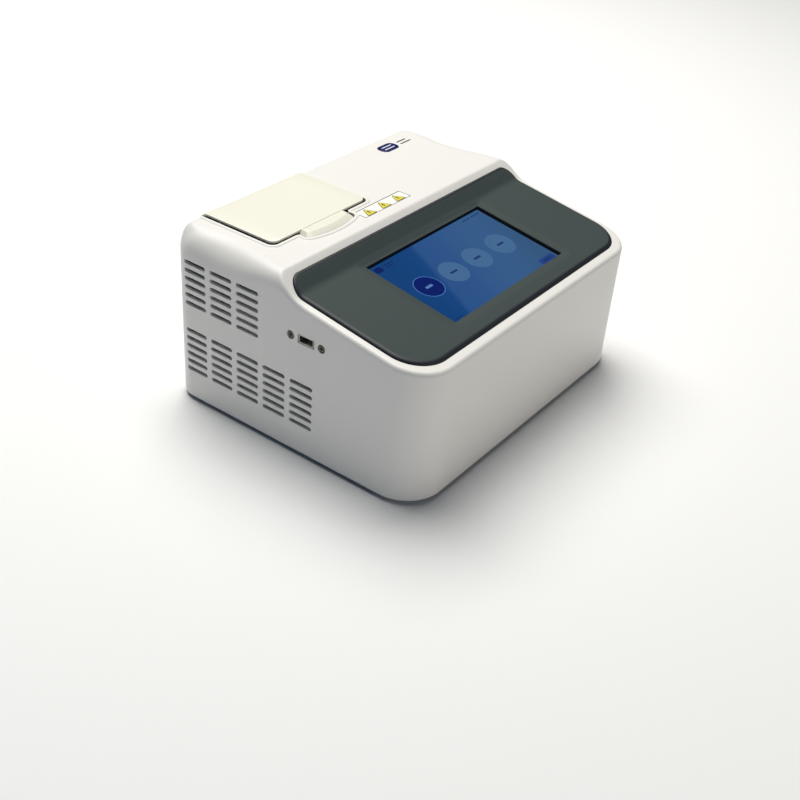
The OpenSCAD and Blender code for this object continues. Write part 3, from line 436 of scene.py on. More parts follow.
def case_skin():
    """The case's outside from its lower edge to the window under the dark panel, as an open surface."""
    front = [np.arange(14) / 14, 1 + np.arange(16) / 16]
    rear = [3 + np.arange(10) / 10, 4 + np.arange(19) / 18]
    places = np.concatenate(front + [case_side_places()] + rear)
    edge, normal = half_loop(places, HALF_W, -HALF_D, HALF_D, FRONT_R, REAR_R)
    length = 2 * HALF_D - FRONT_R - REAR_R
    turned = [2 + (y + HALF_D - FRONT_R) / length for y in (-1.8, 22.0, 28.0)]
    known = [0, 1, 2, *turned, 3, 4, 5]
    window, _ = half_loop(
        np.interp(places, known, [0, 1, 2, 3, 4, 4.044, 4.2, 4.3, 5]),
        BEZEL_W - WINDOW_INSET,
        BEZEL_FRONT + WINDOW_INSET,
        BEZEL_REAR - WINDOW_INSET,
        BEZEL_FRONT_R - WINDOW_INSET,
        BEZEL_REAR_R - WINDOW_INSET,
    )
    rear_y = HALF_D - REAR_FILLET
    inner, _ = half_loop(places, HALF_W - 6, -HALF_D + 6, rear_y, FRONT_R - 6, REAR_R - REAR_FILLET)
    rear_inner, _ = half_loop(places, HALF_W - SIDE_FILLET, -HALF_D, rear_y, FRONT_R, 10.0)
    rear_inner[places < 3, 1] = edge[places < 3, 1]
    inner = inner + (rear_inner - inner) * smooth_step(edge[:, 1], -12, 28)[:, None]
    fan = np.linalg.norm(edge - inner, axis=1)
    crest = np.minimum(TOP_Z, side_profile(inner[:, 1])[0])
    rings = []
    for inset, z in ((0.7, FLOOR_Z), (0.2, FLOOR_Z + 0.25), (0.0, FLOOR_Z + 0.9)):
        rings.append(np.c_[edge - normal * inset, np.full(len(edge), z)])
    wall_rows = len(rings)
    for t in np.radians(np.linspace(0, 90, 27)):
        spread = 1 + 0.45 * math.sin(2 * t)
        plan = inner + (edge - inner) * math.cos(t) * spread
        rings.append(np.c_[plan, crest - fan * (1 - math.sin(t) * spread)])
    fan_rows = len(rings)
    steps = 84
    for k in range(1, steps + 1):
        s = 1 - (1 - k / steps) ** 2
        plan = inner * (1 - s) + window * s
        rings.append(np.c_[plan, np.minimum(TOP_Z, side_profile(plan[:, 1])[0])])
    points = np.stack([mirrored(r) for r in rings])
    upright = np.zeros(points.shape[:2], bool)
    upright[fan_rows:] = True
    moved = on_case(points[wall_rows:], upright[wall_rows:])
    moved[..., 2][moved[..., 2] > TOP_Z] = TOP_Z
    points[wall_rows:] = moved
    count = points.shape[1]
    return new_piece("case_shell", points.reshape(-1, 3), strip_faces(len(rings), count), 40)


def slot_cutter(name, columns, tip_z):
    """Six rows of ventilation slots as cutters with a small chamfer at the wall's outside."""
    half = SLOT_H / 2
    solids = []
    for row in range(SLOT_ROWS):
        for column in range(columns):
            rear = SLOT_REAR - SLOT_PITCH_Y * (column - 1) - half
            front = rear - SLOT_LENGTH + SLOT_H
            z = tip_z - row * SLOT_PITCH_Z
            outline = []
            for centre, turn in ((rear, -90), (front, 90)):
                for t in np.radians(np.linspace(turn, turn + 180, 13)):
                    outline.append((centre, z, math.cos(t), math.sin(t)))
            outline = np.array(outline)
            rings = []
            for depth, grow in ((-3.0, 0.4), (0.0, 0.4), (0.15, 0.2), (0.4, 0.0), (8.0, 0.0)):
                y = outline[:, 0] + outline[:, 2] * (half + grow)
                bulge = np.clip(y - (HALF_D - REAR_R), 0, REAR_R)
                wall = -HALF_W + REAR_R - np.sqrt(REAR_R**2 - bulge**2)
                rings.append(np.c_[wall + depth, y, outline[:, 1] + outline[:, 3] * (half + grow)])
            solids.append(from_rings(name, rings))
    return solids


def round_cutter(name, x0, x1, y, z, r0, r1, steps=32):
    """A cutter along X from x0 to x1 whose radius goes from r0 to r1."""
    t = np.arange(steps) * 2 * math.pi / steps
    rings = [np.c_[np.full(steps, x), y + r * np.cos(t), z + r * np.sin(t)] for x, r in ((x0, r0), (x1, r1))]
    return from_rings(name, rings)


def block(name, low, high):
    """A plain box, for cutting with."""
    x, y, z = zip(low, high)
    rings = [[(x[0], y[0], h), (x[1], y[0], h), (x[1], y[1], h), (x[0], y[1], h)] for h in z]
    return from_rings(name, rings)


def case_shell():
    """The case with a wall, cut for the lid's recess, the rear panel, the slots and the USB socket."""
    shell = case_skin()
    # The second finish is a near-black painted shade on the wall's inside, so the slots and openings look
    # dark.
    for finish in (FINISHES["case_white"], PAINTED_SHADE_LINING):
        shell.data.materials.append(finish)
    thicken(shell, WALL, lining=1)
    recess = recess_path(HALF_D + 30)
    cutter = [np.c_[recess, np.full(len(recess), z)] for z in (RECESS_FLOOR, TOP_Z + 20)]
    cut(shell, from_rings("cutter", cutter))
    window_low = (-PANEL_HALF, HALF_D - WALL - 1, PANEL_LOW)
    window_high = (PANEL_HALF, HALF_D + 1, PANEL_HIGH)
    cut(shell, block("cutter", window_low, window_high))
    slots = slot_cutter("cutter", 3, UPPER_SLOTS_Z) + slot_cutter("cutter", 5, LOWER_SLOTS_Z)
    left = joined("cutter", slots)
    right = left.copy()
    right.data = left.data.copy()
    right.data.transform(Matrix.Scale(-1, 4, (1, 0, 0)))
    right.data.flip_normals()
    bpy.context.scene.collection.objects.link(right)
    usb_low, usb_high = box_mm("usb_socket")
    usb_y, usb_z = (usb_low[1] + usb_high[1]) / 2, (usb_low[2] + usb_high[2]) / 2
    low, high = (usb_y - USB_HALF_Y, usb_z - USB_HALF_Z), (usb_y + USB_HALF_Y, usb_z + USB_HALF_Z)
    outline = rectangle(*low, *high, 0.5, 3)
    rings = []
    for depth, grow in ((-2.0, 0.3), (0.0, 0.3), (0.3, 0.0), (5.0, 0.0)):
        wide = shrunk(outline, -grow)
        rings.append(np.c_[np.full(len(wide), -HALF_W + depth), wide])
    holes = [from_rings("cutter", rings)]
    for side in (-1, 1):
        y = usb_y + side * USB_SCREW_OUT
        holes.append(round_cutter("cutter", -HALF_W - 1, -HALF_W + 1.7, y, usb_z, 3.9, 3.4))
    cut(shell, left)
    cut(shell, right)
    cut(shell, joined("cutter", holes))
    shade(shell, 32)
    return shell


def recess_lip():
    """The raised lip round the recess, which fades into the flat top."""
    path = recess_path(LIP_END_Y)
    along = np.gradient(path, axis=0)
    along /= np.linalg.norm(along, axis=1)[:, None]
    normals = np.stack([along[:, 1], -along[:, 0]], -1)
    normals *= -np.sign(normals[0, 0])
    profile = [(0, -3.2), (0, 0.35), (0.1, 0.66), (0.38, 0.85), (0.8, LIP_H), (2.3, LIP_H)]
    profile += [(2.65, 0.82), (2.95, 0.6), (3.3, 0.28), (3.65, 0.08), (4.1, -0.02), (4.1, -0.5)]
    return swept("recess_lip", path, normals, profile, np.full(len(path), TOP_Z), 60)


def usb_screw(name, y, z):
    """A countersunk panel screw with a crossed recess, its axis along X."""
    turns = np.arange(40) * 2 * math.pi / 40
    rings = []
    for x, r in ((0.15, 1.6), (0.2, 2.4), (0.4, 2.95), (0.8, 3.2), (1.6, 3.2), (1.65, 1.45), (9.0, 1.45)):
        rings.append(np.c_[np.full(40, x - HALF_W), y + r * np.cos(turns), z + r * np.sin(turns)])
    screw = from_rings(name, rings)
    for wide, high in ((1.9, 0.42), (0.42, 1.9)):
        low = (-HALF_W - 1, y - wide, z - high)
        cut(screw, block("cutter", low, (-HALF_W + 1.25, y + wide, z + high)))
    return shade(screw, 30)


# ---------- Dark panel and screen ----------


def opening_distance(x, y):
    """How far a place lies outside the screen's opening, as a share of the sloping frame round it."""
    rear = np.maximum(y - OPENING_REAR, 0) / FRAME_REAR_W
    front = np.maximum(OPENING_FRONT - y, 0) / FRAME_W
    side = np.maximum(np.abs(x) - OPENING_W, 0) / FRAME_W
    return np.hypot(side, np.maximum(rear, front))


def bezel_top(x, y):
    """Height of the dark panel's top, which dips towards the screen's opening."""
    height, _ = side_profile(y, BEZEL_H)
    drop = FRAME_DEPTH * (1 - smooth_step(opening_distance(x, y), -0.12, 1.06))
    return height - drop


def panel_bezel():
    """The dark panel: drafted edge, rounded rim, concave turn-up and the sloping frame round the screen."""
    side = np.concatenate([np.linspace(0, 0.78, 30)[:-1], np.linspace(0.78, 1, 16)[:-1]])
    front = [np.arange(24) / 24, 1 + np.arange(20) / 20]
    rear = [3 + np.arange(14) / 14, 4 + np.arange(25) / 24]
    places = np.concatenate(front + [2 + side] + rear)
    edge, normal = half_loop(places, BEZEL_W, BEZEL_FRONT, BEZEL_REAR, BEZEL_FRONT_R, BEZEL_REAR_R)
    frame_edge, _ = half_loop(
        places, OPENING_W + FRAME_W, OPENING_FRONT - FRAME_W, OPENING_REAR + FRAME_REAR_W, 4.0, 3.0
    )
    opening, _ = half_loop(places, OPENING_W, OPENING_FRONT, OPENING_REAR, 1.0, 1.0)
    rings = []

    def add(plan, z):
        rings.append(mirrored(np.c_[plan, z]))

    seat = side_profile(edge[:, 1])[0]
    under = edge - normal * 5.0
    add(under, side_profile(under[:, 1])[0] + 0.02)
    add(edge, seat + 0.02)
    add(edge - normal * 0.25, seat + 0.5)
    shoulder = edge - normal * 0.5
    for t in np.radians(np.linspace(0, 90, 10)):
        plan = shoulder - normal * ROLL_W * (1 - math.cos(t))
        flat = side_profile(plan[:, 1], BEZEL_H)[0]
        add(plan, flat - ROLL_H * (1 - math.sin(t)))
    last = shoulder - normal * ROLL_W
    for s in np.linspace(0, 1, 40)[1:]:
        plan = last * (1 - s) + frame_edge * s
        add(plan, bezel_top(plan[:, 0], plan[:, 1]))
    for s in np.linspace(0, 1, 13)[1:]:
        plan = frame_edge * (1 - s) + opening * s
        add(plan, bezel_top(plan[:, 0], plan[:, 1]))
    lip = bezel_top(opening[:, 0], opening[:, 1])
    wall = opening - 0.25 * np.sign(opening)
    add(wall, lip - 0.3)
    add(wall, GLASS_Z - 0.1 + math.tan(SLOPE) * opening[:, 1])
    points = np.concatenate(rings)
    panel = new_piece("panel_bezel", points, strip_faces(len(rings), len(rings[0])), 40)
    count = len(rings[0])
    # The outer edge with most of its rounded rim, and the opening's walls, take the second finish: painted
    # shade.
    edge_faces, wall_faces = panel.data.polygons[: 10 * count], panel.data.polygons[-2 * count :]
    for face in [*edge_faces, *wall_faces]:
        face.material_index = 1
    return panel


def tilted(piece, z):
    """Tilts a piece drawn flat in plan onto the screen's slope, its plane passing height z at depth 0."""
    turn = Matrix.Rotation(SLOPE, 4, "X")
    lift = Matrix.Translation((0, 0, z * MM))
    stretch = Matrix.Diagonal((1, 1 / math.cos(SLOPE), 1, 1))
    piece.data.transform(lift @ turn @ stretch)
    return piece


def bar(x0, x1, y, height):
    """The outline of a bar with rounded ends, which stands for a line of writing."""
    return rectangle(x0, y - height / 2, x1, y + height / 2, min(height, x1 - x0) * 0.3, 3)


def screen_pieces():
    """What the screen shows: the lit picture, four round tiles, a button and a few bars, all generic."""
    made = {}
    made["screen_picture"] = slab("screen_picture", rectangle(-77.4, -95.6, 77.4, -9.3, 0.4), 0, 0.06)
    rings, pale, bars = [], [], []
    for i, (x, r) in enumerate(TILES):
        if i == 0:
            rings.append(slab("ring", disc(x, TILE_Y, r + 0.7), 0.04, 0.08))
            made["screen_tile_active"] = slab("screen_tile_active", disc(x, TILE_Y, r), 0.05, 0.10)
            bars.append(slab("bar", bar(x - 4.2, x + 4.2, TILE_Y, 2.6), 0.08, 0.12))
        else:
            pale.append(slab("pale", disc(x, TILE_Y, r), 0.04, 0.09))
            bars.append(slab("bar", bar(x - 4.6, x + 4.6, TILE_Y, 2.2), 0.07, 0.11))
    made["screen_tile_ring"] = joined("screen_tile_ring", rings)
    made["screen_tiles_idle"] = joined("screen_tiles_idle", pale)
    made["screen_tile_bar_active"] = bars[0]
    bars[0].name = "screen_tile_bar_active"
    made["screen_tile_bars"] = joined("screen_tile_bars", bars[1:])
    made["screen_button"] = slab("screen_button", rectangle(54.0, -95.2, 74.6, -88.4, 1.2), 0.04, 0.09)
    marks = [slab("mark", rectangle(-75.6, -18.4, -66.8, -12.0, 2.0), 0.04, 0.09)]
    made["screen_mark"] = joined("screen_mark", marks)
    thin = [(-63.5, -51, -13.6, 1.1), (-63.5, -53, -16.4, 1.1), (49, 60, -13.2, 0.9), (62, 74, -13.2, 0.9)]
    thin += [(-74, -64, -92.6, 0.9), (58.5, 70, -91.8, 1.4)]
    lines = [slab("bar", bar(a, b, y, h), 0.05, 0.12) for a, b, y, h in thin]
    made["screen_text_bars"] = joined("screen_text_bars", lines)
    for piece in made.values():
        tilted(piece, GLASS_Z)
        shade(piece, 30)
    return made


# ---------- Lid ----------


def lid_skin(name, sink, thickness, edge):
    """One layer of the lid's plate with its rolled rear edge. sink is its depth below the top."""
    corner, half_w, front = LID_CORNER - edge, LID_HALF - edge, LID_FRONT + edge
    top, roll = LID_TOP - sink, ROLL_R - sink
    rows = [(front + corner * (1 - math.cos(t)), top) for t in np.radians(np.linspace(0, 90, 9))]
    rows += [(front + corner + t * (HINGE_Y - front - corner), top) for t in (0.33, 0.66, 1.0)]
    for t in np.radians(np.linspace(90, -50, 20)[1:]):
        rows.append((HINGE_Y + roll * math.cos(t), HINGE_Z + roll * math.sin(t)))
    points, columns = [], np.linspace(-1, 1, 9)
    for y, z in rows:
        in_corner = max(front + corner - y, 0)
        half = half_w - corner + math.sqrt(corner**2 - in_corner**2)
        points += [(LID_X + c * half, y, z) for c in columns]
    skin = new_piece(name, points, strip_faces(len(rows), len(columns), closed=False), 40)
    if sum(f.normal.z for f in skin.data.polygons) < 0:
        skin.data.flip_normals()
    thicken(skin, thickness)
    for x in BRACKETS_X:
        low = (x - BRACKET_HALF, HINGE_Y + 0.5, 100)
        high = (x + BRACKET_HALF, HALF_D + 1, HINGE_Z + ROLL_R - 1.2)
        cut(skin, block("cutter", low, high))
    soften(skin, min(0.45, thickness * 0.4), 3)
    return shade(skin, 40)


def tongue_loop(half, front, rear, front_r, bow):
    """Outline of the grip: straight at the lid, bowed at the front."""
    places = stations(12, 8, 6, 3, 8)
    half_points, _ = half_loop(places, half, front, rear, front_r, 0.6)
    share = 1 - (half_points[:, 1] - front) / (rear - front)
    half_points[:, 1] += bow * (half_points[:, 0] / half) ** 2 * share
    loop = mirrored(half_points)
    return loop + np.array([LID_X + 0.6, 0])


def lid_grip():
    """The grip: a nearly flat top, a crease, and a band that slopes down to its front and ends."""
    rear = LID_FRONT + 0.6
    # Each level: half width, front edge, front corner's radius, bow, and height from the lid's top.
    levels = [
        (26.6, 35.0, 4.0, 3.2, -6.2),
        (27.8, 33.2, 4.5, 3.6, -5.7),
        (28.4, 32.5, 4.8, 3.8, -4.9),
        (28.6, 32.2, 5.0, 3.9, -3.6),
        (28.5, 32.3, 5.0, 3.9, -3.25),
        (28.2, 32.7, 5.0, 3.9, -2.95),
        (25.6, 37.2, 3.0, 3.4, -0.75),
        (25.2, 37.9, 2.8, 3.3, -0.38),
        (24.8, 38.6, 2.6, 3.2, -0.18),
        (24.2, 39.6, 2.4, 3.0, -0.12),
        (22.9, 42.4, 2.0, 2.0, -0.26),
        (21.2, 45.4, 1.4, 1.0, -0.38),
    ]
    rings = []
    for half, front, front_r, bow, depth in levels:
        loop = tongue_loop(half, front, rear, min(front_r, (rear - front) * 0.8), bow)
        rings.append(np.c_[loop, np.full(len(loop), LID_TOP + depth)])
    return from_rings("lid_grip", rings, smooth=28)


def coil(name, x, y, low, high, radius, wire, turns):
    """A compression spring with its end turns laid flat."""
    steps, sides = 16, 8
    total = int(turns * steps)
    rings = []
    for i in range(total + 1):
        t = i / total
        a = t * turns * 2 * math.pi
        rise = np.clip((t * turns - 0.8) / (turns - 1.6), 0, 1)
        z = low + wire + rise * (high - low - 2 * wire)
        centre = np.array([x + radius * math.cos(a), y + radius * math.sin(a), z])
        out, up = np.array([math.cos(a), math.sin(a), 0]), np.array([0, 0, 1])
        turn = np.arange(sides) * 2 * math.pi / sides
        rings.append([centre + wire * (out * math.cos(b) + up * math.sin(b)) for b in turn])
    return from_rings(name, rings, smooth=60)


# ---------- Label and badge ----------


def triangle(x, y, size, r):
    """A triangle with round corners, one corner to the rear, as a closed outline."""
    foot, half = y - size * 0.45, size * 0.58
    corners = [(x, y + size * 0.55), (x - half, foot), (x + half, foot)]
    seam = [(*((np.array(corners[-1]) + corners[0]) / 2), 0)]
    return rounded_path(seam + [(*c, r) for c in corners] + seam, 4)[:-1]


def label_pieces():
    """The warning strip: a white ground with a black outline and three plain yellow triangles."""
    x0, y0, x1, y1 = -36.0, 26.6, 25.7, 39.7
    border = slab("label_border", rectangle(x0, y0, x1, y1 + 0.2, 0.6), TOP_Z - 0.05, TOP_Z + 0.05)
    inside = rectangle(x0 + 0.6, y0 + 0.5, x1 - 0.8, y1 - 0.7, 0.4)
    ground = slab("label_ground", inside, TOP_Z - 0.05, TOP_Z + 0.09)
    outlines, fills, bars = [], [], []
    for x in (-25.8, -6.1, 13.6):
        outlines.append(slab("sign", triangle(x, 32.4, 11.4, 0.9), TOP_Z, TOP_Z + 0.13))
        fills.append(slab("sign", triangle(x, 32.3, 9.6, 0.6), TOP_Z, TOP_Z + 0.17))
        bars.append(slab("sign", bar(x - 0.7, x + 0.7, 32.0, 4.0), TOP_Z, TOP_Z + 0.21))
    return {
        "label_border": border,
        "label_ground": ground,
        "label_signs": joined("label_signs", outlines + bars),
        "label_sign_fills": joined("label_sign_fills", fills),
    }


def badge_pieces():
    """A plain badge at the rear right of the flat top, with no lettering."""
    plate = slab("badge_plate", rectangle(84.0, 97.8, 106.8, 111.4, 5.5), TOP_Z - 0.05, TOP_Z + 0.35, 0.2)
    bars = [slab("bar", bar(88.5, 102.4, y, 1.5), TOP_Z, TOP_Z + 0.42) for y in (106.8, 102.4)]
    ends = ((124.5, 106.8), (126.8, 102.0))
    lines = [slab("bar", bar(111.5, x, y, 1.5), TOP_Z - 0.05, TOP_Z + 0.12) for x, y in ends]
    return {
        "badge_plate": plate,
        "badge_bars": joined("badge_bars", bars),
        "badge_lines": joined("badge_lines", lines),
    }


# ---------- Fans ----------


def fan_rotor(name, node):
    """A fan's rotor: a hub with a rounded cap and seven swept, twisted blades."""
    low, high = box_mm(node)
    x, z = (low[0] + high[0]) / 2, (low[2] + high[2]) / 2
    radius = (high[0] - low[0]) / 2
    front, rear = high[1] - 18, high[1]
    hub = (radius + 3.2) * 0.4
    turns = np.arange(40) * 2 * math.pi / 40
    rings = []
    profile = [(hub * 0.5, front), (hub, front), (hub, rear - 1.2)]
    profile += [(hub - 0.35, rear - 0.35), (hub - 1.2, rear), (hub * 0.4, rear)]
    for r, y in profile:
        rings.append(np.c_[x + r * np.cos(turns), np.full(40, y), z + r * np.sin(turns)])
    solids = [from_rings("hub", rings)]
    for k in range(7):
        sections = []
        for s in np.linspace(0, 1, 9):
            r = hub - 0.5 + s * (radius - hub + 0.5)
            lead = k * 2 * math.pi / 7 + 0.35 * s
            chord = 0.62 - 0.12 * s
            pitch = 13.0 - 2.0 * s
            upper, lower = [], []
            for t in np.linspace(0, 1, 7):
                a = lead + chord * (t - 0.5)
                y = (front + rear) / 2 + pitch * (0.5 - t) + 1.6 * math.sin(math.pi * t)
                thick = 0.75 * math.sin(math.pi * (0.08 + 0.84 * t)) + 0.12
                for side, row in ((1, upper), (-1, lower)):
                    row.append((x + r * math.cos(a), y + side * thick, z + r * math.sin(a)))
            sections.append(upper + lower[::-1])
        solids.append(from_rings("blade", sections, smooth=50))
    return joined(name, solids)


# ---------- Materials ----------


def linear(rgb):
    """A colour given as it looks, 0 to 255, as the linear values that shaders take."""
    c = np.array(rgb, float) / 255
    return (*np.where(c <= 0.04045, c / 12.92, ((c + 0.055) / 1.055) ** 2.4), 1.0)


def material(
    name, rgb, rough, grain=0.5, bump=0.02, vary=0.05, metal=0.0, stretch=(1, 1, 1), spread=0.08, **sockets
):
    """A procedural finish. grain is its texture's size and bump the texture's depth, in millimetres."""
    made = bpy.data.materials.new(name)
    made.use_nodes = True
    tree = made.node_tree
    shader = tree.nodes["Principled BSDF"]
    shader.inputs["Metallic"].default_value = metal
    for key, value in sockets.items():
        shader.inputs[key.replace("_", " ")].default_value = value
    place = tree.nodes.new("ShaderNodeTexCoord")
    mapping = tree.nodes.new("ShaderNodeMapping")
    mapping.inputs["Scale"].default_value = stretch
    tree.links.new(place.outputs["Object"], mapping.inputs["Vector"])

    def noise(size_mm, detail):
        node = tree.nodes.new("ShaderNodeTexNoise")
        node.inputs["Scale"].default_value = 1000.0 / size_mm
        node.inputs["Detail"].default_value = detail
        tree.links.new(mapping.outputs["Vector"], node.inputs["Vector"])
        return node.outputs["Fac"]

    fine, broad = noise(grain, 3.0), noise(60.0, 2.0)
    colour = tree.nodes.new("ShaderNodeMix")
    colour.data_type = "RGBA"
    base = np.array(linear(rgb)[:3])
    colour.inputs["A"].default_value = (*np.clip(base * (1 - vary), 0, 1), 1)
    colour.inputs["B"].default_value = (*np.clip(base * (1 + vary), 0, 1), 1)
    both = tree.nodes.new("ShaderNodeMath")
    both.operation = "MULTIPLY_ADD"
    both.inputs[1].default_value = 0.5
    half = tree.nodes.new("ShaderNodeMath")
    half.operation = "MULTIPLY"
    half.inputs[1].default_value = 0.5
    tree.links.new(broad, half.inputs[0])
    tree.links.new(fine, both.inputs[0])
    tree.links.new(half.outputs[0], both.inputs[2])
    tree.links.new(both.outputs[0], colour.inputs["Factor"])
    tree.links.new(colour.outputs["Result"], shader.inputs["Base Color"])
    gloss = tree.nodes.new("ShaderNodeMapRange")
    gloss.inputs["To Min"].default_value = max(rough - spread, 0.02)
    gloss.inputs["To Max"].default_value = min(rough + spread, 1.0)
    tree.links.new(fine, gloss.inputs["Value"])
    tree.links.new(gloss.outputs["Result"], shader.inputs["Roughness"])
    if bump:
        relief = tree.nodes.new("ShaderNodeBump")
        relief.inputs["Strength"].default_value = 1.0
        relief.inputs["Distance"].default_value = bump * MM
        tree.links.new(fine, relief.inputs["Height"])
        tree.links.new(relief.outputs["Normal"], shader.inputs["Normal"])
    return made


def glowing(name, tones, strength, rough=0.12):
    """A lit part of the screen under its glass. Several tones run from the picture's left to its right."""
    made = material(name, (6, 8, 12), rough, grain=0.3, bump=0.0, spread=0.02, Specular_IOR_Level=0.2)
    tree = made.node_tree
    shader = tree.nodes["Principled BSDF"]
    shader.inputs["Emission Strength"].default_value = strength
    shader.inputs["Emission Color"].default_value = linear(tones[0])
    if len(tones) == 1:
        return made
    place = tree.nodes.new("ShaderNodeTexCoord")
    axes = tree.nodes.new("ShaderNodeSeparateXYZ")
    tree.links.new(place.outputs["Generated"], axes.inputs["Vector"])
    across = tree.nodes.new("ShaderNodeValToRGB")
    across.color_ramp.interpolation = "EASE"
    stops = list(zip((0.0, 0.10, 0.16, 0.62, 1.0), tones))
    ramp = across.color_ramp.elements
    while len(ramp) < len(stops):
        ramp.new(0.5)
    for element, (place_at, tone) in zip(ramp, stops):
        element.position = place_at
        element.color = linear(tone)
    lean = tree.nodes.new("ShaderNodeMath")
    lean.operation = "MULTIPLY_ADD"
    lean.inputs[1].default_value = -0.24
    tree.links.new(axes.outputs["Y"], lean.inputs[0])
    tree.links.new(axes.outputs["X"], lean.inputs[2])
    tree.links.new(lean.outputs[0], across.inputs["Fac"])
    tree.links.new(across.outputs["Color"], shader.inputs["Emission Color"])
    return made


def make_finishes():
    """A finish for each of the record's material slots."""
    satin = {"grain": 0.5, "bump": 0.012, "vary": 0.06}
    dull = {"Specular_IOR_Level": 0.12}
    clear = {"Transmission_Weight": 0.85}
    looks = {
        "case_white": ((228, 226, 222), 0.42, {"grain": 0.7, "bump": 0.006, "vary": 0.012}),
        "lid_cream": ((232, 230, 216), 0.34, {"grain": 0.6, "bump": 0.004, "vary": 0.012}),
        "bezel_grey": ((61, 71, 70), 0.6, {**satin, "grain": 0.45, **dull}),
        "screen_glass": ((8, 10, 16), 0.08, {"grain": 2.0, "bump": 0.0, "vary": 0.1, "spread": 0.03}),
        "dark_plastic": ((46, 48, 44), 0.5, satin),
        "black_plastic": ((26, 26, 28), 0.42, {"grain": 0.5, "bump": 0.01, "vary": 0.08}),
        "white_plastic": ((226, 226, 222), 0.4, {"grain": 0.6, "bump": 0.004, "vary": 0.03}),
        "rubber_black": ((30, 30, 31), 0.8, {"grain": 0.4, "bump": 0.03, "vary": 0.1}),
        "silicone_grey": ((168, 168, 166), 0.6, {"grain": 0.6, "bump": 0.01, "vary": 0.04}),
        "foam": ((206, 188, 138), 0.92, {"grain": 1.2, "bump": 0.3, "vary": 0.12}),
        "sheet_steel": ((176, 178, 180), 0.38, {"bump": 0.003, "metal": 1.0, "stretch": (1, 14, 14)}),
        "screw_steel": ((170, 170, 168), 0.3, {"grain": 0.3, "bump": 0.004, "metal": 1.0}),
        "aluminium_plain": (
            (196, 197, 198),
            0.34,
            {"grain": 0.6, "bump": 0.005, "metal": 1.0, "stretch": (12, 1, 1)},
        ),
        "bright_nickel": ((196, 192, 184), 0.2, {"grain": 0.4, "bump": 0.002, "metal": 1.0}),
        "ceramic_white": ((236, 234, 228), 0.55, {"grain": 0.8, "bump": 0.01, "vary": 0.03}),
        "silicone_orange": ((176, 84, 38), 0.55, {"grain": 0.8, "bump": 0.05, "vary": 0.08}),
        "glass_clear": ((206, 220, 226), 0.08, {"grain": 1.0, "bump": 0.0, **clear}),
        "wire_insulation": ((150, 34, 30), 0.45, {"grain": 0.8, "bump": 0.01, "vary": 0.08}),
        "ribbon_grey": ((190, 192, 196), 0.5, {"grain": 0.7, "bump": 0.05, "stretch": (1, 0.02, 0.02)}),
        "brass_plain": ((202, 170, 98), 0.3, {"grain": 0.4, "bump": 0.003, "metal": 1.0}),
    }
    finishes = {slot: material(slot, rgb, rough, **more) for slot, (rgb, rough, more) in looks.items()}
    finishes["board_green"] = board_finish()
    return finishes


def board_finish():
    """A circuit board's green mask with paler tracks and pads in it."""
    made = material("board_green", (22, 84, 52), 0.35, grain=0.8, bump=0.01, vary=0.12)
    tree = made.node_tree
    shader = tree.nodes["Principled BSDF"]
    place = tree.nodes.new("ShaderNodeTexCoord")
    tracks = tree.nodes.new("ShaderNodeTexBrick")
    tracks.inputs["Scale"].default_value = 120.0
    tracks.inputs["Mortar Size"].default_value = 0.03
    tracks.inputs["Color1"].default_value = linear((20, 80, 48))
    tracks.inputs["Color2"].default_value = linear((24, 92, 56))
    tracks.inputs["Mortar"].default_value = linear((70, 132, 84))
    tree.links.new(place.outputs["Object"], tracks.inputs["Vector"])
    tree.links.new(tracks.outputs["Color"], shader.inputs["Base Color"])
    return made


def finish_piece(piece, finish, body="housing", stands_for=(), second=None):
    """Gives a piece its finish and any second finish, its body, and hides the CAD nodes that it stands for.
    """
    slots = piece.data.materials
    for i, used in enumerate([finish, second] if second else [finish]):
        if i < len(slots):
            slots[i] = used
        else:
            slots.append(used)
    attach(piece, body)
    if stands_for:
        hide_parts(*stands_for)


FINISHES = make_finishes()

for part in frame["record"]["subparts"]:
    node = frame["nodes"][part["node"]]
    node.data.materials.clear()
    node.data.materials.append(FINISHES[part["material_slot"]])

# ---------- The pieces ----------

# Near-black painted shade for the case's inside, seen through the slots and openings.
PAINTED_SHADE_LINING = material("painted_shade_lining", (38, 38, 40), 0.6, grain=0.6, bump=0.01, vary=0.1)
finish_piece(case_shell(), FINISHES["case_white"], "housing", ["upper_housing"], PAINTED_SHADE_LINING)
finish_piece(recess_lip(), FINISHES["case_white"])
USB_LOW, USB_HIGH = box_mm("usb_screws")
BRONZE = material("screw_bronze", (92, 90, 84), 0.42, grain=0.3, bump=0.01, metal=1.0)
for i, y in enumerate((USB_LOW[1] + 3.2, USB_HIGH[1] - 3.2)):
    screw = usb_screw(f"usb_screw_{i + 1}", y, (USB_LOW[2] + USB_HIGH[2]) / 2)
    finish_piece(screw, BRONZE, stands_for=["usb_screws"] if i == 0 else ())
# Near-navy painted shade for the dark panel's outer edge and the walls of the screen's opening.
PAINTED_SHADE_EDGE = material("painted_shade_edge", (18, 25, 34), 0.55, grain=0.45, bump=0.01, vary=0.06)
finish_piece(panel_bezel(), FINISHES["bezel_grey"], "housing", ["screen_bezel"], PAINTED_SHADE_EDGE)
finish_piece(lid_skin("lid_plate", 0, LID_SKIN, 0), FINISHES["lid_cream"], "lid", ["lid_cover"])
LINING = lid_skin("lid_plate_lining", LID_SKIN, LID_PLATE - LID_SKIN, 0.5)
finish_piece(LINING, FINISHES["dark_plastic"], "lid")
finish_piece(lid_grip(), FINISHES["lid_cream"], "lid", ["lid_handle"])

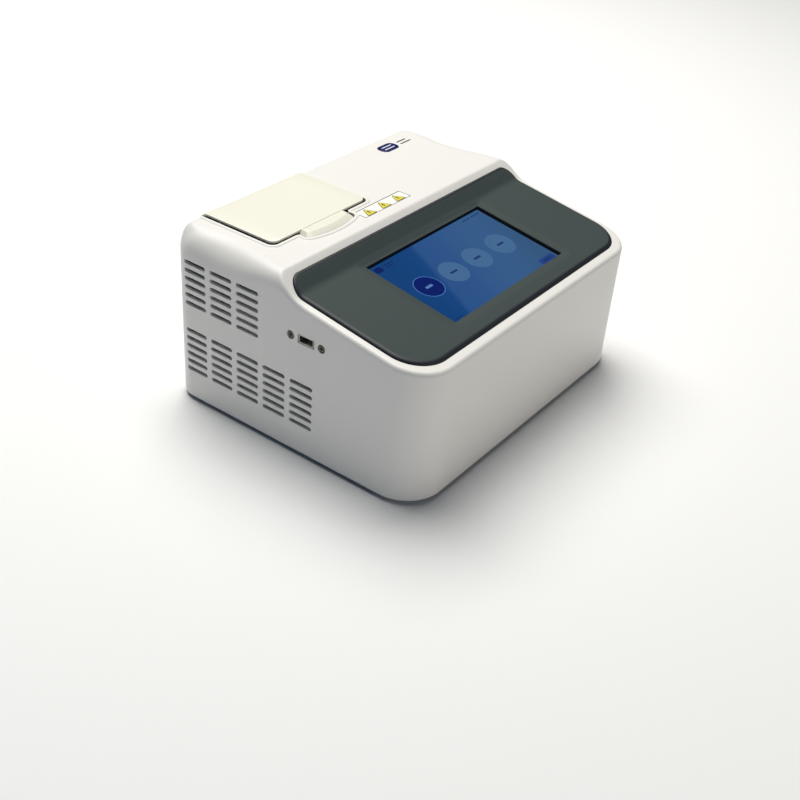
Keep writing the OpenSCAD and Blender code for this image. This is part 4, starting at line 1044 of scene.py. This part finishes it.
SCREEN_TONES = [(12, 62, 118), (16, 64, 122), (40, 80, 135), (52, 90, 136), (50, 84, 120)]
GLOWS = {
    "screen_picture": glowing("screen_picture", SCREEN_TONES, 1.0),
    "screen_tile_ring": glowing("screen_tile_ring", [(70, 118, 184)], 1.0),
    "screen_tile_active": glowing("screen_tile_active", [(2, 24, 98)], 1.0),
    "screen_tiles_idle": glowing("screen_tiles_idle", [(66, 104, 145)], 1.0),
    "screen_tile_bar_active": glowing("screen_tile_bar_active", [(92, 122, 180)], 1.0),
    "screen_tile_bars": glowing("screen_tile_bars", [(26, 52, 100)], 1.0),
    "screen_button": glowing("screen_button", [(34, 62, 128)], 1.0),
    "screen_mark": glowing("screen_mark", [(4, 30, 92)], 1.0),
    "screen_text_bars": glowing("screen_text_bars", [(10, 44, 96)], 1.0),
}
for name, piece in screen_pieces().items():
    finish_piece(piece, GLOWS[name])

PRINTS = {
    "label_border": material("print_black", (34, 34, 36), 0.4, bump=0.0),
    "label_ground": material("print_white", (240, 240, 236), 0.35, bump=0.0, vary=0.01),
    "label_sign_fills": material("print_yellow", (222, 208, 60), 0.35, bump=0.0, vary=0.03),
    "badge_plate": material("badge_navy", (18, 24, 84), 0.25, bump=0.002),
    "badge_bars": material("badge_silver", (214, 218, 232), 0.3, bump=0.0),
}
PRINTS["label_signs"] = PRINTS["badge_lines"] = PRINTS["label_border"]
for name, piece in {**label_pieces(), **badge_pieces()}.items():
    finish_piece(piece, PRINTS[name])

for fan in ("block_fan", "case_fan"):
    blades = fan_rotor(f"{fan}_blades", f"{fan}_rotor")
    finish_piece(blades, FINISHES["black_plastic"], fan, [f"{fan}_rotor"])

SPRING_LOW, SPRING_HIGH = box_mm("plate_springs")
for i, (x, y) in enumerate(SPRING_PLACES):
    low, high = SPRING_LOW[2], SPRING_HIGH[2]
    spring = coil(f"plate_spring_{i + 1}", x, y, low, high, SPRING_R, SPRING_WIRE, SPRING_TURNS)
    finish_piece(spring, FINISHES["screw_steel"], "lid", ["plate_springs"] if i == 0 else ())
    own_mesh(spring)

# ---------- Stage, lights and camera ----------


def make_floor():
    """A plain pale floor under the object."""
    size = 2600
    points = [(-size, -size, 0), (size, -size, 0), (size, size, 0), (-size, size, 0)]
    floor = new_piece("floor", points, [(0, 1, 2, 3)])
    pale = material("floor", (241, 241, 241), 1.0, grain=20, bump=0.0, vary=0.005, Specular_IOR_Level=0.0)
    floor.data.materials.append(pale)


def area_light(name, place, target, size, power, colour):
    """A soft rectangular light at a place in metres, turned to a target."""
    lamp = bpy.data.lights.new(name, "AREA")
    lamp.shape = "RECTANGLE"
    lamp.size, lamp.size_y = size
    lamp.energy = power
    lamp.color = colour
    holder = bpy.data.objects.new(name, lamp)
    holder.location = place
    holder.rotation_mode = "QUATERNION"
    holder.rotation_quaternion = (Vector(target) - Vector(place)).to_track_quat("-Z", "Y")
    bpy.context.scene.collection.objects.link(holder)


def make_world(strength, backdrop):
    """A faint even light from all round, and a pale backdrop where the floor ends."""
    world = bpy.data.worlds.new("studio")
    world.use_nodes = True
    tree = world.node_tree
    around = tree.nodes["Background"]
    around.inputs["Color"].default_value = (0.8, 0.9, 1.0, 1)
    around.inputs["Strength"].default_value = strength
    seen = tree.nodes.new("ShaderNodeBackground")
    seen.inputs["Color"].default_value = (1.0, 1.0, 1.0, 1)
    seen.inputs["Strength"].default_value = backdrop
    rays = tree.nodes.new("ShaderNodeLightPath")
    mix = tree.nodes.new("ShaderNodeMixShader")
    tree.links.new(rays.outputs["Is Camera Ray"], mix.inputs[0])
    tree.links.new(around.outputs[0], mix.inputs[1])
    tree.links.new(seen.outputs[0], mix.inputs[2])
    tree.links.new(mix.outputs[0], tree.nodes["World Output"].inputs["Surface"])
    bpy.context.scene.world = world


def make_camera():
    """The camera stands in front and to the left, looking down, with a slight roll."""
    azimuth, elevation, roll = math.radians(-55.775), math.radians(34.193), math.radians(4.788)
    level = math.cos(elevation)
    back = Vector((math.sin(azimuth) * level, -math.cos(azimuth) * level, math.sin(elevation)))
    right = (-back).cross(Vector((0, 0, 1))).normalized()
    up = back.cross(right)
    across = math.cos(roll) * right + math.sin(roll) * up
    upward = -math.sin(roll) * right + math.cos(roll) * up
    lens = bpy.data.cameras.new("camera")
    lens.lens = 53.05
    lens.sensor_width = 36.0
    camera = bpy.data.objects.new("camera", lens)
    turn = Matrix((across, upward, back)).transposed().to_4x4()
    camera.matrix_world = Matrix.Translation((-0.7424, -0.5023, 0.5771)) @ turn
    bpy.context.scene.collection.objects.link(camera)
    bpy.context.scene.camera = camera


make_floor()
make_world(0.07, 0.8)
area_light("overhead", (0.42, 0.78, 2.2), (0.0, 0.0, 0.0), (1.8, 1.9), 76, (1.0, 0.985, 0.94))
area_light("left_fill", (-2.4, -0.2, 1.2), (0, 0, 0.1), (1.2, 1.2), 2.3, (0.03, 0.4, 1.0))
area_light("front_fill", (0.1, -2.4, 0.55), (0, 0, 0.1), (1.2, 0.8), 9.5, (1.0, 0.94, 0.88))
make_camera()
bpy.context.scene.view_settings.view_transform = "Standard"
